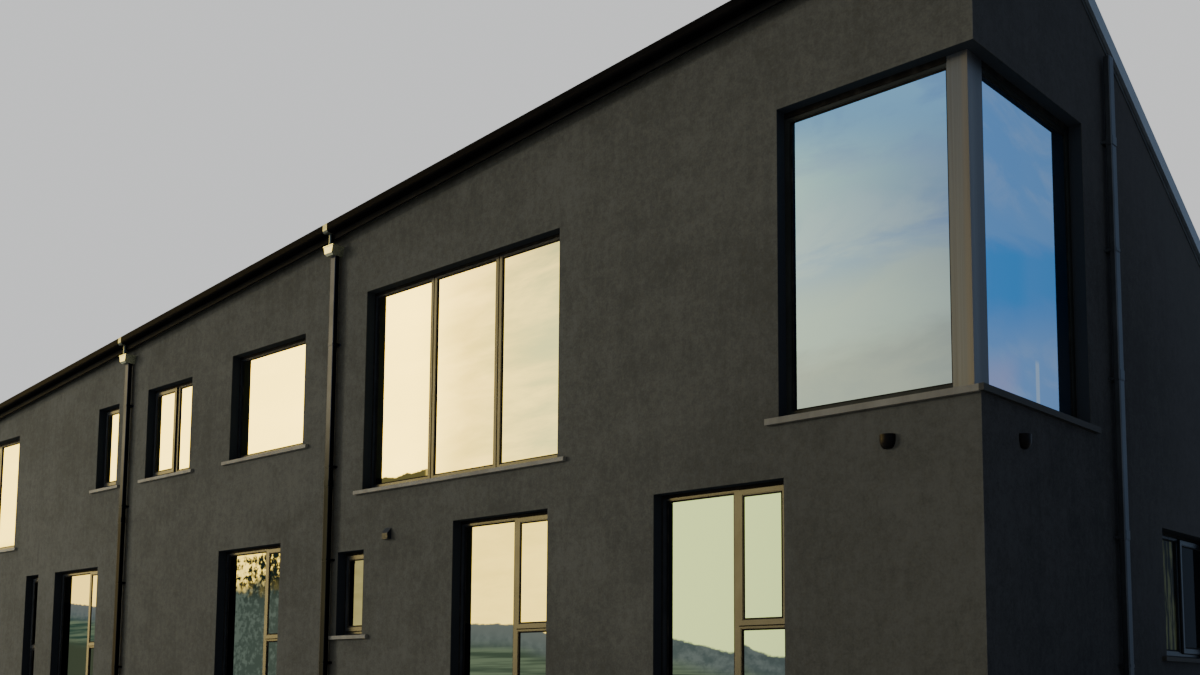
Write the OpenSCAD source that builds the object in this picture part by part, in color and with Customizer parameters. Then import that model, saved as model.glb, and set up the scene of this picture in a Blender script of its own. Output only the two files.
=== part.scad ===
// A long two-storey house range in charcoal render, with a window that wraps its corner.
// The front wall is seen from the south: X runs along it to the right, Y goes into the house, Z is up.
// The origin is on the ground, in the middle of the walls' plan.
// Places along the front and back are given as distances from the right-hand corner, going left.
// Places along the gable are given as distances from the front corner, going back.

/* [House] */
// Length of the walls from gable face to gable face
house_l = 23600; // [22600:100:26000]
// Depth of the walls from front face to back face
house_w = 8000; // [7800:100:8600]
// Thickness of the outer walls
wall_t = 350; // [300:10:400]
// Height of the ground floor's surface above the ground
floor_z = 150; // [100:10:200]
// Height of the first floor's surface above the ground
upper_floor_z = 2950; // [2850:10:2980]
// Thickness of the first floor
deck_t = 250; // [200:10:300]

/* [Roof] */
// Pitch of both roof slopes, square to the ridge
roof_pitch = 31.6; // [30:0.1:33]
// Turn of the ridge away from the front wall, in plan
ridge_turn = 8.5; // [7:0.1:9.5]
// Height of the ridge line over the ground
ridge_z = 8237; // [8200:1:8400]
// Distance from the front wall's face back to the ridge at the right-hand gable
ridge_back = 1200; // [1100:10:1300]
// Thickness of the roof slopes, square to them
slope_t = 200; // [180:5:220]
// Reach of the roof slopes beyond the front and back walls
eaves_out = 100; // [90:5:120]

/* [Windows] */
// Depth of the window reveals, from the wall's face to the frames
reveal = 132; // [120:2:150]
// Depth of the window frames
frame_d = 75; // [60:5:90]
// Width of the outer members of the window frames
frame_w = 60; // [50:5:70]
// Width of the mullions
mullion_w = 85; // [70:5:100]
// Width of the coupled mullions of the picture windows
coupled_w = 116; // [100:2:130]
// Width of the transoms
transom_w = 45; // [40:5:60]
// Width of the members of the opening sashes
sash_w = 52; // [46:2:60]
// Thickness of the sealed glass units
glass_t = 28; // [24:2:36]
// Width of the corner post along the front
post_w = 195; // [160:5:240]
// Depth of the corner post along the gable
post_d = 265; // [200:5:300]
// Thickness of the sills
sill_t = 60; // [50:5:70]
// Thickness of the corner window's sill
corner_sill_t = 75; // [60:5:80]
// Reach of the sills beyond the wall's face
sill_out = 45; // [30:5:60]
// Length of the sill ends beyond the window openings
sill_horn = 130; // [80:5:150]

/* [Rainwater goods] */
// Width of the gutters
gutter_w = 120; // [110:5:130]
// Height of the gutters
gutter_h = 110; // [90:5:120]
// Width of the downpipes
pipe_w = 110; // [90:5:120]
// Depth of the downpipes
pipe_d = 68; // [60:2:80]
// Gap between the walls and the downpipes
pipe_gap = 35; // [25:5:45]

/* [Hidden] */

// A length past every wall, for cutting tools
far = 40000;
// A height past the ridge
sky_z = ridge_z + 1000;
// Faces of the walls
right_x = house_l / 2;
left_x = -house_l / 2;
front_y = -house_w / 2;
back_y = house_w / 2;

// Widths of the corner window on its two walls
corner_front_w = 2010;
corner_gable_w = 2212;
corner_head_z = 6055;
corner_sill_z = 3028;
// Undersides of the sills of the upper windows
low_sill_z = 3010;
high_sill_z = 3745;
// Window openings as [near side, far side, underside of the sill, head]
corner_opening = [0, corner_front_w, corner_sill_z, corner_head_z];
picture_wins = [
    [4885, 8320, low_sill_z, 5608],
    [18480, 21915, low_sill_z, 5085]
];
small_upper_wins = [
    [9650, 11455, high_sill_z, 5316],
    [12550, 13866, high_sill_z, 5200],
    [14790, 15474, high_sill_z, 5125]
];
ground_sill_z = 150;
ground_head_z = 2525;
ground_wins = [
    [1958, 3526, ground_sill_z, ground_head_z],
    [5025, 6575, ground_sill_z, ground_head_z],
    [10090, 11640, ground_sill_z, ground_head_z],
    [15272, 16800, ground_sill_z, ground_head_z],
    [17430, 17910, ground_sill_z, ground_head_z]
];
// Heights of the transoms in the right-hand lights of the ground floor windows
ground_transoms = [1185, 1245, 1253, 1263, 1265];
small_ground_win = [8255, 8794, 1205, 2310];
front_upper_wins = concat(picture_wins, small_upper_wins);
front_ground_wins = concat(ground_wins, [small_ground_win]);
front_wins = concat(front_upper_wins, front_ground_wins);
gable_win = [3950, 5550, 920, 2295];
back_upper_wins = [
    [13400, 14600, high_sill_z, 4850],
    [16700, 17900, high_sill_z, 4850],
    [20100, 21900, high_sill_z, 4850]
];
back_ground_wins = [
    [2000, 3500, 920, 2295],
    [6000, 7500, ground_sill_z, ground_head_z],
    [10100, 11600, 920, 2295],
    [15300, 16800, ground_sill_z, ground_head_z],
    [19500, 21000, 920, 2295]
];
back_wins = concat(back_upper_wins, back_ground_wins);

// Downpipes on the front as distances from the right-hand corner
middle_pipe_s = 8940;
left_pipe_s = 14400;
end_pipe_s = 23000;

// Rise of the eaves for each unit of length along the front
eaves_rise = tan(roof_pitch) * sin(ridge_turn);
// Rise of the slopes for each unit of depth along the gables
gable_rise = tan(roof_pitch) * cos(ridge_turn);
// Height of the roof's top surface over the right-hand corners of the walls
front_eaves_z = ridge_z - gable_rise * ridge_back;
back_eaves_z = ridge_z - gable_rise * (house_w - ridge_back);
// Vertical thickness of the slopes
slope_v = slope_t / cos(roof_pitch);

function at(s) = right_x - s;
function win_w(w) = w[1] - w[0];
function win_h(w) = w[3] - w[2];

// Roof planes

// The frame of the ridge line, turned and lifted to it
module on_ridge() {
    translate([right_x, front_y + ridge_back, ridge_z])
        rotate([0, 0, -ridge_turn]) children();
}

// A layer of a slope from low to high, both measured square to its top surface.
// The front slope has side 1 and rises to the ridge, the back slope has side -1 and falls from it.
module slope_layer(side, low, high) {
    on_ridge()
        intersection() {
            rotate([side * roof_pitch, 0, 0])
                translate([-far, -far, low]) cube([2 * far, 2 * far, high - low]);
            translate([-far, side > 0 ? -far : 0, -far])
                cube([2 * far, far, 2 * far]);
        }
}

// Everything above the underside of both slopes, for cutting the walls
module above_roof() {
    on_ridge()
        for (side = [1, -1])
            rotate([side * roof_pitch, 0, 0])
                translate([-far, -far, -slope_t])
                    cube([2 * far, 2 * far, far]);
}

// The plan of the roof as a tall block
module roof_plan(x_out, y_out) {
    translate([left_x - x_out, front_y - y_out, 0])
        cube([house_l + 2 * x_out, house_w + 2 * y_out, sky_z]);
}

verge_gap = 10;
verge_t = 30;
verge_low = -140;
verge_high = 14;
verge_lip = 60;
eaves_end = verge_gap + verge_t;

module roof_front_slope() {
    color("#2a2d30")
        intersection() {
            slope_layer(1, -slope_t, 0);
            roof_plan(verge_gap, eaves_out);
        }
}

module roof_back_slope() {
    color("#2a2d30")
        intersection() {
            slope_layer(-1, -slope_t, 0);
            roof_plan(verge_gap, eaves_out);
        }
}

// A folded metal strip over the ridge
capping_w = 160;
capping_t = 8;
module ridge_capping() {
    half = capping_w * cos(roof_pitch);
    color("#33373b")
        intersection() {
            union()
                for (side = [1, -1]) slope_layer(side, 0, capping_t);
            on_ridge() translate([-far, -half, -far]) cube([2 * far, 2 * half, 2 * far]);
            roof_plan(verge_gap - verge_lip, eaves_out);
        }
}

// A strip of the roof's layers along a gable, from one X to another
module verge_strip(side, low, high, from_x, to_x) {
    intersection() {
        slope_layer(side, low, high);
        translate([from_x, front_y - eaves_out, 0])
            cube([to_x - from_x, house_w + 2 * eaves_out, sky_z]);
    }
}

// The folded trim at a gable: an upright face over the edge of the slopes and a lip over their sheet.
// The end is 1 for the right-hand gable and -1 for the left-hand one.
module verge(end) {
    edge = end * (right_x + verge_gap);
    outer = edge + end * verge_t;
    inner = edge - end * verge_lip;
    for (side = [1, -1]) {
        verge_strip(side, verge_low, verge_high, min(edge, outer), max(edge, outer));
        verge_strip(side, 0, verge_high, min(edge, inner), max(edge, inner));
    }
}

module right_verge() { color("#5c656e") verge(1); }

module left_verge() { color("#5c656e") verge(-1); }

// Eaves

// Lies a profile drawn in the YZ plane along the eaves, from the right-hand corner to the left.
// The front eaves fall to the left and the back eaves rise to the left.
// The stretch runs from one distance to another, and its ends are cut upright.
eaves_spare = 200;
module along_eaves(corner_z, rise, from_s = -eaves_end, to_s = house_l + eaves_end) {
    slant = 1 / cos(atan(rise));
    intersection() {
        eaves_line(corner_z, rise)
            translate([-to_s * slant - eaves_spare, 0, 0])
                rotate([90, 0, 90])
                    linear_extrude((to_s - from_s) * slant + 2 * eaves_spare) children();
        translate([at(to_s), -house_w, 0])
            cube([to_s - from_s, 2 * house_w, sky_z]);
    }
}

// The tilted line of the eaves, with its origin over the right-hand corner
module eaves_line(corner_z, rise) {
    translate([right_x, 0, corner_z]) rotate([0, -atan(rise), 0]) children();
}

fascia_t = 20;
fascia_h = 220;
fascia_drop = 20;
// Height of the fascia's top over the right-hand corner, at the edge of the slope
front_fascia_z = front_eaves_z - gable_rise * eaves_out - fascia_drop;
back_fascia_z = back_eaves_z - gable_rise * eaves_out - fascia_drop;
gutter_drop = 35;
gutter_wall = 6;
gutter_round = 40;

module fascia_profile() {
    translate([-fascia_t, -fascia_h]) square([fascia_t, fascia_h]);
}

// A box gutter with a rounded lower edge, open along its top
module gutter_profile() {
    translate([-fascia_t - gutter_w, -gutter_drop - gutter_h])
        difference() {
            gutter_body(gutter_w, gutter_h, gutter_round);
            translate([gutter_wall, gutter_wall])
                gutter_body(gutter_w - 2 * gutter_wall, gutter_h, gutter_round - gutter_wall);
        }
}

// The solid section that closes a gutter at its ends
module stop_end_profile() {
    translate([-fascia_t - gutter_w, -gutter_drop - gutter_h])
        gutter_body(gutter_w, gutter_h, gutter_round);
}

// The section of the gutter, square at the back and rounded at the lower front
module gutter_body(w, h, r) {
    translate([r, 0]) square([w - r, h]);
    translate([0, r]) square([w, h - r]);
    translate([r, r]) circle(r, $fn = 48);
}

module front_fascia() {
    color("#3a3b3a")
        along_eaves(front_fascia_z, eaves_rise)
            translate([front_y - eaves_out, 0]) fascia_profile();
}

module back_fascia() {
    color("#3a3b3a")
        mirror([0, 1, 0])
            along_eaves(back_fascia_z, -eaves_rise)
                translate([front_y - eaves_out, 0]) fascia_profile();
}

// A gutter along its eaves with a stop end at each end
module gutter(corner_z, rise) {
    along_eaves(corner_z, rise) translate([front_y - eaves_out, 0]) gutter_profile();
    for (s = [-eaves_end, house_l + eaves_end - gutter_wall])
        along_eaves(corner_z, rise, s, s + gutter_wall)
            translate([front_y - eaves_out, 0]) stop_end_profile();
}

module front_gutter() { color("#17181a") gutter(front_fascia_z, eaves_rise); }

module back_gutter() {
    color("#17181a") mirror([0, 1, 0]) gutter(back_fascia_z, -eaves_rise);
}

// Walls

// A block of the front wall between two distances and two heights
module front_block(from_s, to_s, low, high) {
    translate([at(to_s), front_y, low]) cube([to_s - from_s, wall_t, high - low]);
}

// The piers of a storey of the front wall, which stand between its windows
module front_piers(wins, from_s, low, high) {
    color("#4a4a47")
        difference() {
            front_block(from_s, house_l, low, high);
            above_roof();
            for (w = wins)
                translate([at(w[1]), front_y - 1, low - 1])
                    cube([win_w(w), wall_t + 2, high - low + 2]);
        }
}

// The panels of a storey of the front wall, over and under its windows
module front_panels(wins, low, high) {
    color("#4a4a47")
        difference() {
            for (w = wins) {
                front_block(w[0], w[1], low, w[2]);
                front_block(w[0], w[1], w[3], high);
            }
            above_roof();
        }
}

module front_wall_ground_piers() { front_piers(front_ground_wins, 0, 0, upper_floor_z); }

module front_wall_ground_panels() { front_panels(front_ground_wins, 0, upper_floor_z); }

module front_wall_upper_piers() {
    front_piers(front_upper_wins, corner_front_w, upper_floor_z, ridge_z);
}

module front_wall_upper_panels() {
    front_panels(concat([corner_opening], front_upper_wins), upper_floor_z, ridge_z);
}

// A block through the back wall, for a window
module hole_in_back_wall(w) {
    translate([at(w[1]), back_y - wall_t - 1, w[2]])
        cube([win_w(w), wall_t + 2, win_h(w)]);
}

module back_wall() {
    color("#4a4a47")
        difference() {
            translate([left_x, back_y - wall_t, 0]) cube([house_l, wall_t, ridge_z]);
            above_roof();
            for (w = back_wins) hole_in_back_wall(w);
        }
}

// A wall across the house, between the front and back walls
module cross_wall(x_low) {
    difference() {
        translate([x_low, front_y + wall_t, 0]) cube([wall_t, house_w - 2 * wall_t, ridge_z]);
        above_roof();
    }
}

module right_gable_wall() {
    color("#3c3e40")
        difference() {
            cross_wall(right_x - wall_t);
            translate([right_x - wall_t - 1, front_y + wall_t - 1, corner_sill_z])
                cube([wall_t + 2, corner_gable_w - wall_t + 1, corner_head_z - corner_sill_z]);
            translate([right_x - wall_t - 1, front_y + gable_win[0], gable_win[2]])
                cube([wall_t + 2, win_w(gable_win), win_h(gable_win)]);
        }
}

module left_party_wall() { color("#3c3e40") cross_wall(left_x); }

// Floors

module ground_floor() {
    color("#8d8a84")
        translate([left_x + wall_t, front_y + wall_t, 0])
            cube([house_l - 2 * wall_t, house_w - 2 * wall_t, floor_z]);
}

module first_floor() {
    color("#8a7358")
        translate([left_x + wall_t, front_y + wall_t, upper_floor_z - deck_t])
            cube([house_l - 2 * wall_t, house_w - 2 * wall_t, deck_t]);
}

// Windows

// Puts a window drawn in its own frame in a wall: X to the right, Y into the wall, Z up,
// with its origin at the lower left of the opening on the wall's face
module in_front_wall(w) { translate([at(w[1]), front_y, w[2]]) children(); }

module in_back_wall(w) { translate([at(w[0]), back_y, w[2]]) rotate([0, 0, 180]) children(); }

module in_gable_wall(w) { translate([right_x, front_y + w[0], w[2]]) rotate([0, 0, 90]) children(); }

glass_back = 20;
// The shallow step round each light, outside its glass
step_w = 8;
step_d = 5;
// The sashes stand proud of the frames, lap over them and reach into them
sash_out = 22;
sash_lap = 15;
sash_in = 40;
sash_gap = 3;
sash_glass = 9;

// Middles of the mullions as shares of the widths of their windows, from the left
picture_split = [0.338, 0.676];
small_splits = [[], [0.53], []];
ground_splits = [[0.6], [0.605], [0.677], [0.684], []];
even_split = [0.5];
function middles(w, split) = [for (share = split) win_w(w) * share];

// Columns of lights as [left, right], between the frame and mullions of one width
function columns(w, split, across) =
    let (m = middles(w, split))
    [for (i = [0 : len(m)]) [
        i == 0 ? frame_w : m[i - 1] + across / 2,
        i == len(m) ? win_w(w) - frame_w : m[i] - across / 2
    ]];
function light_top(w) = win_h(w) - sill_t - frame_w;

// A light is [left, low, right, top, opens], measured from the lower left corner of the frame.
// These are the lights of a window without a transom. The one with the number in opens is a sash.
function tall_lights(w, split, opens, across = mullion_w) =
    let (cols = columns(w, split, across))
    [for (i = [0 : len(cols) - 1]) [cols[i][0], frame_w, cols[i][1], light_top(w), i == opens]];

// The lights of a ground floor window, with a transom in its last column and a sash over it
function ground_lights(w, split, transom) =
    let (
        cols = columns(w, split, mullion_w),
        last = cols[len(cols) - 1],
        middle = transom - w[2] - sill_t
    )
    concat(
        [for (i = [0 : 1 : len(cols) - 2]) [cols[i][0], frame_w, cols[i][1], light_top(w), false]],
        [[last[0], frame_w, last[1], middle - transom_w / 2, false]],
        [[last[0], middle + transom_w / 2, last[1], light_top(w), true]]
    );

function picture_lights(w) = tall_lights(w, picture_split, -1, coupled_w);
// The middle window of the three small upper ones opens on the left, and the last is one sash
function small_lights(i) = tall_lights(small_upper_wins[i], small_splits[i], i == 0 ? -1 : 0);
function tall_ground_lights(i) = ground_lights(ground_wins[i], ground_splits[i], ground_transoms[i]);
function one_sash(w) = tall_lights(w, [], 0);
function pair_lights(w) = tall_lights(w, even_split, 1);

function grown(l, by) = [l[0] - by, l[1] - by, l[2] + by, l[3] + by, l[4]];

// A block as wide and high as a light, from one depth behind the frame's face to another
module light_block(l, from_y, to_y) {
    translate([l[0], from_y, l[1]]) cube([l[2] - l[0], to_y - from_y, l[3] - l[1]]);
}

// A frame: a block with its lights cut through and a shallow step round each fixed one
module frame(w, lights, sill = sill_t) {
    translate([0, reveal, sill])
        difference() {
            cube([win_w(w), frame_d, win_h(w) - sill]);
            for (l = lights) {
                light_block(l, -1, frame_d + 1);
                if (!l[4]) light_block(grown(l, step_w), -1, step_d);
            }
        }
}

// The sealed units of the lights, further out in a sash than in the frame
module panes(lights, sill = sill_t) {
    translate([0, reveal, sill])
        for (l = lights) {
            face = l[4] ? sash_glass - sash_out : glass_back;
            light_block(grown(l, l[4] ? sash_lap - sash_w : 0), face, face + glass_t);
        }
}

// The sashes: rings that lap over the frame and reach into its lights
module sashes(lights) {
    translate([0, reveal, sill_t])
        for (l = lights) {
            if (l[4]) sash(l);
        }
}

module sash(l) {
    difference() {
        union() {
            light_block(grown(l, sash_lap), -sash_out, 0);
            light_block(grown(l, -sash_gap), 0, sash_in);
        }
        light_block(grown(l, sash_lap - sash_w), -sash_out - 1, sash_in + 1);
        light_block(grown(l, sash_lap - sash_w + step_w), -sash_out - 1, step_d - sash_out);
    }
}

// A sill: the part in the opening, falling to the outside, and a nosing with horns on the wall's face
sill_fall = 12;
module sill(w, left_horn = sill_horn, right_horn = sill_horn, t = sill_t) {
    rotate([90, 0, 90])
        linear_extrude(w)
            polygon([[0, 0], [wall_t, 0], [wall_t, t], [reveal, t], [0, t - sill_fall]]);
    translate([-left_horn, 0, 0])
        rotate([90, 0, 90])
            linear_extrude(w + left_horn + right_horn) nosing_profile(t);
}

// The nosing, with a drip groove under it
nosing_fall = 4;
drip = 10;
module nosing_profile(t) {
    difference() {
        polygon([[-sill_out, 0], [0, 0], [0, t - sill_fall], [-sill_out, t - sill_fall - nosing_fall]]);
        translate([-sill_out / 2 - drip / 2, -1]) square([drip, drip + 1]);
    }
}

// Each mullion of a picture window is two frames side by side, with a sunk joint between them
joint_w = 16;
joint_d = 14;
module picture_window_frames() {
    color("#2e2f2f")
        for (w = picture_wins)
            in_front_wall(w)
                difference() {
                    frame(w, picture_lights(w));
                    for (m = middles(w, picture_split))
                        translate([m - joint_w / 2, reveal - 1, sill_t - 1])
                            cube([joint_w, joint_d + 1, win_h(w)]);
                }
}

module picture_window_glass() {
    color("#c9c19c")
        for (w = picture_wins) in_front_wall(w) panes(picture_lights(w));
}

small_numbers = [0 : len(small_upper_wins) - 1];
ground_numbers = [0 : len(ground_wins) - 1];

module small_upper_frames() {
    color("#2e2f2f")
        for (i = small_numbers)
            in_front_wall(small_upper_wins[i]) frame(small_upper_wins[i], small_lights(i));
}

module small_upper_glass() {
    color("#c9c19c")
        for (i = small_numbers) in_front_wall(small_upper_wins[i]) panes(small_lights(i));
}

module ground_window_frames() {
    color("#2e2f2f") {
        for (i = ground_numbers)
            in_front_wall(ground_wins[i]) frame(ground_wins[i], tall_ground_lights(i));
        in_front_wall(small_ground_win) frame(small_ground_win, one_sash(small_ground_win));
    }
}

module ground_window_glass() {
    color("#c9c19c") {
        for (i = ground_numbers) in_front_wall(ground_wins[i]) panes(tall_ground_lights(i));
        in_front_wall(small_ground_win) panes(one_sash(small_ground_win));
    }
}

module gable_window_frame() {
    color("#2e2f2f") in_gable_wall(gable_win) frame(gable_win, pair_lights(gable_win));
}

module gable_window_glass() {
    color("#7f93a8") in_gable_wall(gable_win) panes(pair_lights(gable_win));
}

module back_window_frames() {
    color("#2e2f2f")
        for (w = back_wins) in_back_wall(w) frame(w, pair_lights(w));
}

module back_window_glass() {
    color("#8fa0ad")
        for (w = back_wins) in_back_wall(w) panes(pair_lights(w));
}

module opening_sashes() {
    color("#2e2f2f") {
        for (i = small_numbers) in_front_wall(small_upper_wins[i]) sashes(small_lights(i));
        for (i = ground_numbers) in_front_wall(ground_wins[i]) sashes(tall_ground_lights(i));
        in_front_wall(small_ground_win) sashes(one_sash(small_ground_win));
        in_gable_wall(gable_win) sashes(pair_lights(gable_win));
        for (w = back_wins) in_back_wall(w) sashes(pair_lights(w));
    }
}

module front_window_sills() {
    color("#75716a")
        for (w = front_wins) in_front_wall(w) sill(win_w(w));
}

module gable_window_sill() { color("#75716a") in_gable_wall(gable_win) sill(win_w(gable_win)); }

module back_window_sills() {
    color("#75716a")
        for (w = back_wins) in_back_wall(w) sill(win_w(w));
}

// The corner window: two frames open towards a square post, which their glass butts against

corner_set = 125;
corner_head_w = 96;
corner_h = corner_head_z - corner_sill_z;
corner_front_win = [corner_set + post_w, corner_front_w, corner_sill_z, corner_head_z];
corner_side_win = [reveal + post_d, corner_gable_w, corner_sill_z, corner_head_z];
corner_light_top = corner_h - corner_sill_t - corner_head_w;
// The one light of each side, which runs past the end of its frame by the given length
function corner_front_light(past) =
    [frame_w, frame_w, win_w(corner_front_win) + past, corner_light_top, false];
function corner_side_light(past) =
    [-past, frame_w, win_w(corner_side_win) - frame_w, corner_light_top, false];

module corner_post() {
    color("#5f5b55")
        translate([right_x - corner_set - post_w, front_y + reveal, corner_sill_z + corner_sill_t])
            cube([post_w, post_d, corner_h - corner_sill_t]);
}

module corner_window_frames() {
    color("#2e2f2f") {
        in_front_wall(corner_front_win)
            frame(corner_front_win, [corner_front_light(1)], corner_sill_t);
        in_gable_wall(corner_side_win)
            frame(corner_side_win, [corner_side_light(1)], corner_sill_t);
    }
}

module corner_window_glass() {
    color("#b3bfc6") {
        in_front_wall(corner_front_win) panes([corner_front_light(0)], corner_sill_t);
        in_gable_wall(corner_side_win) panes([corner_side_light(0)], corner_sill_t);
    }
}

// The sill of the corner window turns the corner on a mitre
module corner_window_sill() {
    color("#75716a") {
        mitred(-1) in_front_wall(corner_opening)
            sill(corner_front_w, sill_horn, sill_out, corner_sill_t);
        mitred(1) in_gable_wall([0, corner_gable_w, corner_sill_z, corner_head_z])
            sill(corner_gable_w, sill_out, sill_horn, corner_sill_t);
    }
}

// Keeps what lies on one side of the mitre through the front corner: -1 the front, 1 the gable
module mitred(side) {
    intersection() {
        children();
        translate([right_x, front_y, 0])
            rotate([0, 0, 45])
                translate([side < 0 ? -far : 0, -far, 0]) cube([far, 2 * far, ridge_z]);
    }
}

// Rainwater goods

// The back downpipe as a distance from the right-hand corner, the gable one from the front corner
back_pipe_s = 900;
gable_pipe_v = 2750;
hopper_w = 205;
hopper_d = 145;
hopper_h = 130;
hopper_gap = 145;
socket_h = 90;
socket_out = 6;
clip_h = 30;
clip_out = 5;

// Height of the underside of the roof at the front and back faces
function front_soffit(s) = front_eaves_z - slope_v - eaves_rise * s;
function back_soffit(s) = back_eaves_z - slope_v + eaves_rise * s;

// A rounded rectangle in the lower left corner of its place
module rounded(w, d, r) {
    translate([r, 0]) square([w - 2 * r, d]);
    translate([0, r]) square([w, d - 2 * r]);
    for (x = [r, w - r])
        for (y = [r, d - r])
            translate([x, y]) circle(r, $fn = 32);
}

// A length of pipe, or a socket that stands out from it on every side
pipe_round = 14;
module pipe_length(low, high, out = 0) {
    translate([-pipe_w / 2 - out, -pipe_gap - pipe_d - out, low])
        linear_extrude(high - low)
            rounded(pipe_w + 2 * out, pipe_d + 2 * out, pipe_round + out);
}

// A clip: a band round the pipe, held off the wall by a flat strap with two ears
ear_w = 170;
ear_t = 5;
module pipe_clip(z) {
    pipe_length(z, z + clip_h, clip_out);
    translate([-pipe_w / 2 - clip_out, -pipe_gap - clip_out, z])
        cube([pipe_w + 2 * clip_out, pipe_gap + clip_out, clip_h]);
    translate([-ear_w / 2, -ear_t, z]) cube([ear_w, ear_t, clip_h]);
}

// A rectangular downpipe against a wall, from the ground to a height, with clips and sockets.
// It is drawn with the wall's face on its back, at Y = 0.
module downpipe(top, clips, sockets) {
    pipe_length(0, top);
    for (z = sockets) pipe_length(z, z + socket_h, socket_out);
    for (z = clips) pipe_clip(z);
}

// An open hopper head on the wall over a downpipe: a box with a rim, whose sides narrow to the pipe
hopper_wall = 8;
hopper_floor = 25;
hopper_foot_w = 140;
hopper_foot_d = 150;
rim_out = 5;
rim_h = 14;

// Half the width of a hopper at a height over its underside
function hopper_half(z) = (hopper_foot_w + (hopper_w - hopper_foot_w) * z / hopper_h) / 2;

module hopper(top) {
    depth = pipe_gap + hopper_d;
    translate([0, 0, top - hopper_h])
        difference() {
            union() {
                hopper_body(depth);
                translate([-hopper_w / 2 - rim_out, -depth - rim_out, hopper_h - rim_h])
                    cube([hopper_w + 2 * rim_out, depth + rim_out, rim_h]);
            }
            translate([0, -hopper_wall, 0])
                hopper_block(depth - 2 * hopper_wall, hopper_floor, hopper_h + 1, hopper_wall);
        }
}

// The box of a hopper, with the lower edge of its front cut back towards the pipe
module hopper_body(depth) {
    intersection() {
        hopper_block(depth, 0, hopper_h, 0);
        translate([-hopper_w / 2, 0, 0])
            rotate([90, 0, 90])
                linear_extrude(hopper_w)
                    polygon([
                        [0, 0], [-hopper_foot_d, 0], [-depth, hopper_floor],
                        [-depth, hopper_h], [0, hopper_h]
                    ]);
    }
}

// A block with the slant of a hopper's sides, from low to high, set in from its faces
module hopper_block(depth, low, high, inset) {
    rotate([90, 0, 0])
        linear_extrude(depth)
            polygon([
                [-hopper_half(low) + inset, low], [hopper_half(low) - inset, low],
                [hopper_half(high) - inset, high], [-hopper_half(high) + inset, high]
            ]);
}

// A sleeve round the gutter over a hopper, with the spigot that drains into it
sleeve_w = 90;
sleeve_t = 4;
spigot_r = 22;
// The spigot stands at the back of the gutter, so that it clears the hopper's front
spigot_y = front_y - eaves_out - fascia_t - gutter_wall - spigot_r;
module running_outlet(s, corner_z, rise, top) {
    along_eaves(corner_z, rise, s - sleeve_w / 2, s + sleeve_w / 2)
        translate([front_y - eaves_out - fascia_t - gutter_w, -gutter_drop - gutter_h])
            difference() {
                translate([-sleeve_t, -sleeve_t])
                    gutter_body(gutter_w + sleeve_t, gutter_h + sleeve_t, gutter_round + sleeve_t);
                gutter_body(gutter_w + 1, gutter_h + 1, gutter_round);
            }
    difference() {
        translate([at(s), spigot_y, top - hopper_h + hopper_floor])
            cylinder(h = hopper_gap + hopper_h, r = spigot_r, $fn = 48);
        eaves_line(corner_z, rise)
            translate([-far, -house_w, -gutter_drop - gutter_h - sleeve_t])
                cube([2 * far, 2 * house_w, far]);
    }
}

// Heights of the clips and sockets of the downpipes
front_clips = [900, 2200, 3400, 5000];
low_clips = [900, 2200, 3400];
back_clips = [900, 2200];
gable_clips = [830, 2060, 3610, 4900, 6000];
front_sockets = [3150];
gable_sockets = [2050, 3620, 5980];

module at_front(s) { translate([at(s), front_y, 0]) children(); }

module at_back(s) { translate([at(s), back_y, 0]) rotate([0, 0, 180]) children(); }

module at_gable(v) { translate([right_x, front_y + v, 0]) rotate([0, 0, 90]) children(); }

function hopper_top(s) = front_soffit(s) - hopper_gap;

front_pipes = [middle_pipe_s, left_pipe_s, end_pipe_s];

back_hopper_top = back_soffit(back_pipe_s) - hopper_gap;

module hopper_heads() {
    color("#8b877c") {
        for (s = front_pipes) at_front(s) hopper(hopper_top(s));
        at_back(back_pipe_s) hopper(back_hopper_top);
    }
}

module gutter_outlets() {
    color("#8b877c") {
        for (s = front_pipes) running_outlet(s, front_fascia_z, eaves_rise, hopper_top(s));
        mirror([0, 1, 0]) running_outlet(back_pipe_s, back_fascia_z, -eaves_rise, back_hopper_top);
    }
}

module middle_downpipe() {
    color("#3b3c3c")
        at_front(middle_pipe_s)
            downpipe(hopper_top(middle_pipe_s) - hopper_h, front_clips, front_sockets);
}

module left_downpipe() {
    color("#3b3c3c")
        at_front(left_pipe_s)
            downpipe(hopper_top(left_pipe_s) - hopper_h, front_clips, front_sockets);
}

module end_downpipe() {
    color("#3b3c3c")
        at_front(end_pipe_s) downpipe(hopper_top(end_pipe_s) - hopper_h, low_clips, front_sockets);
}

gable_pipe_top = 6900;
module gable_downpipe() {
    color("#4b5258")
        at_gable(gable_pipe_v) downpipe(gable_pipe_top, gable_clips, gable_sockets);
}

module back_downpipe() {
    color("#3b3c3c")
        at_back(back_pipe_s) downpipe(back_hopper_top - hopper_h, back_clips, []);
}

// Small fittings

light_s = 870;
light_v = 750;
light_z = 2780;
bowl_r = 73;
bowl_rim_h = 46;
bowl_h = 124;
bowl_foot_r = 26;
bowl_wall = 4;
bowl_deep = 30;
bowl_steps = 10;

// The outline of a bowl under its top: an upright rim, then a quarter of an oval in to a small foot
bowl_outline = concat(
    [[0, 0], [bowl_r, 0]],
    [for (i = [0 : bowl_steps])
        let (turn = 90 * i / bowl_steps)
        [bowl_foot_r + (bowl_r - bowl_foot_r) * cos(turn),
            -bowl_rim_h - (bowl_h - bowl_rim_h) * sin(turn)]],
    [[0, -bowl_h]]
);

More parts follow.
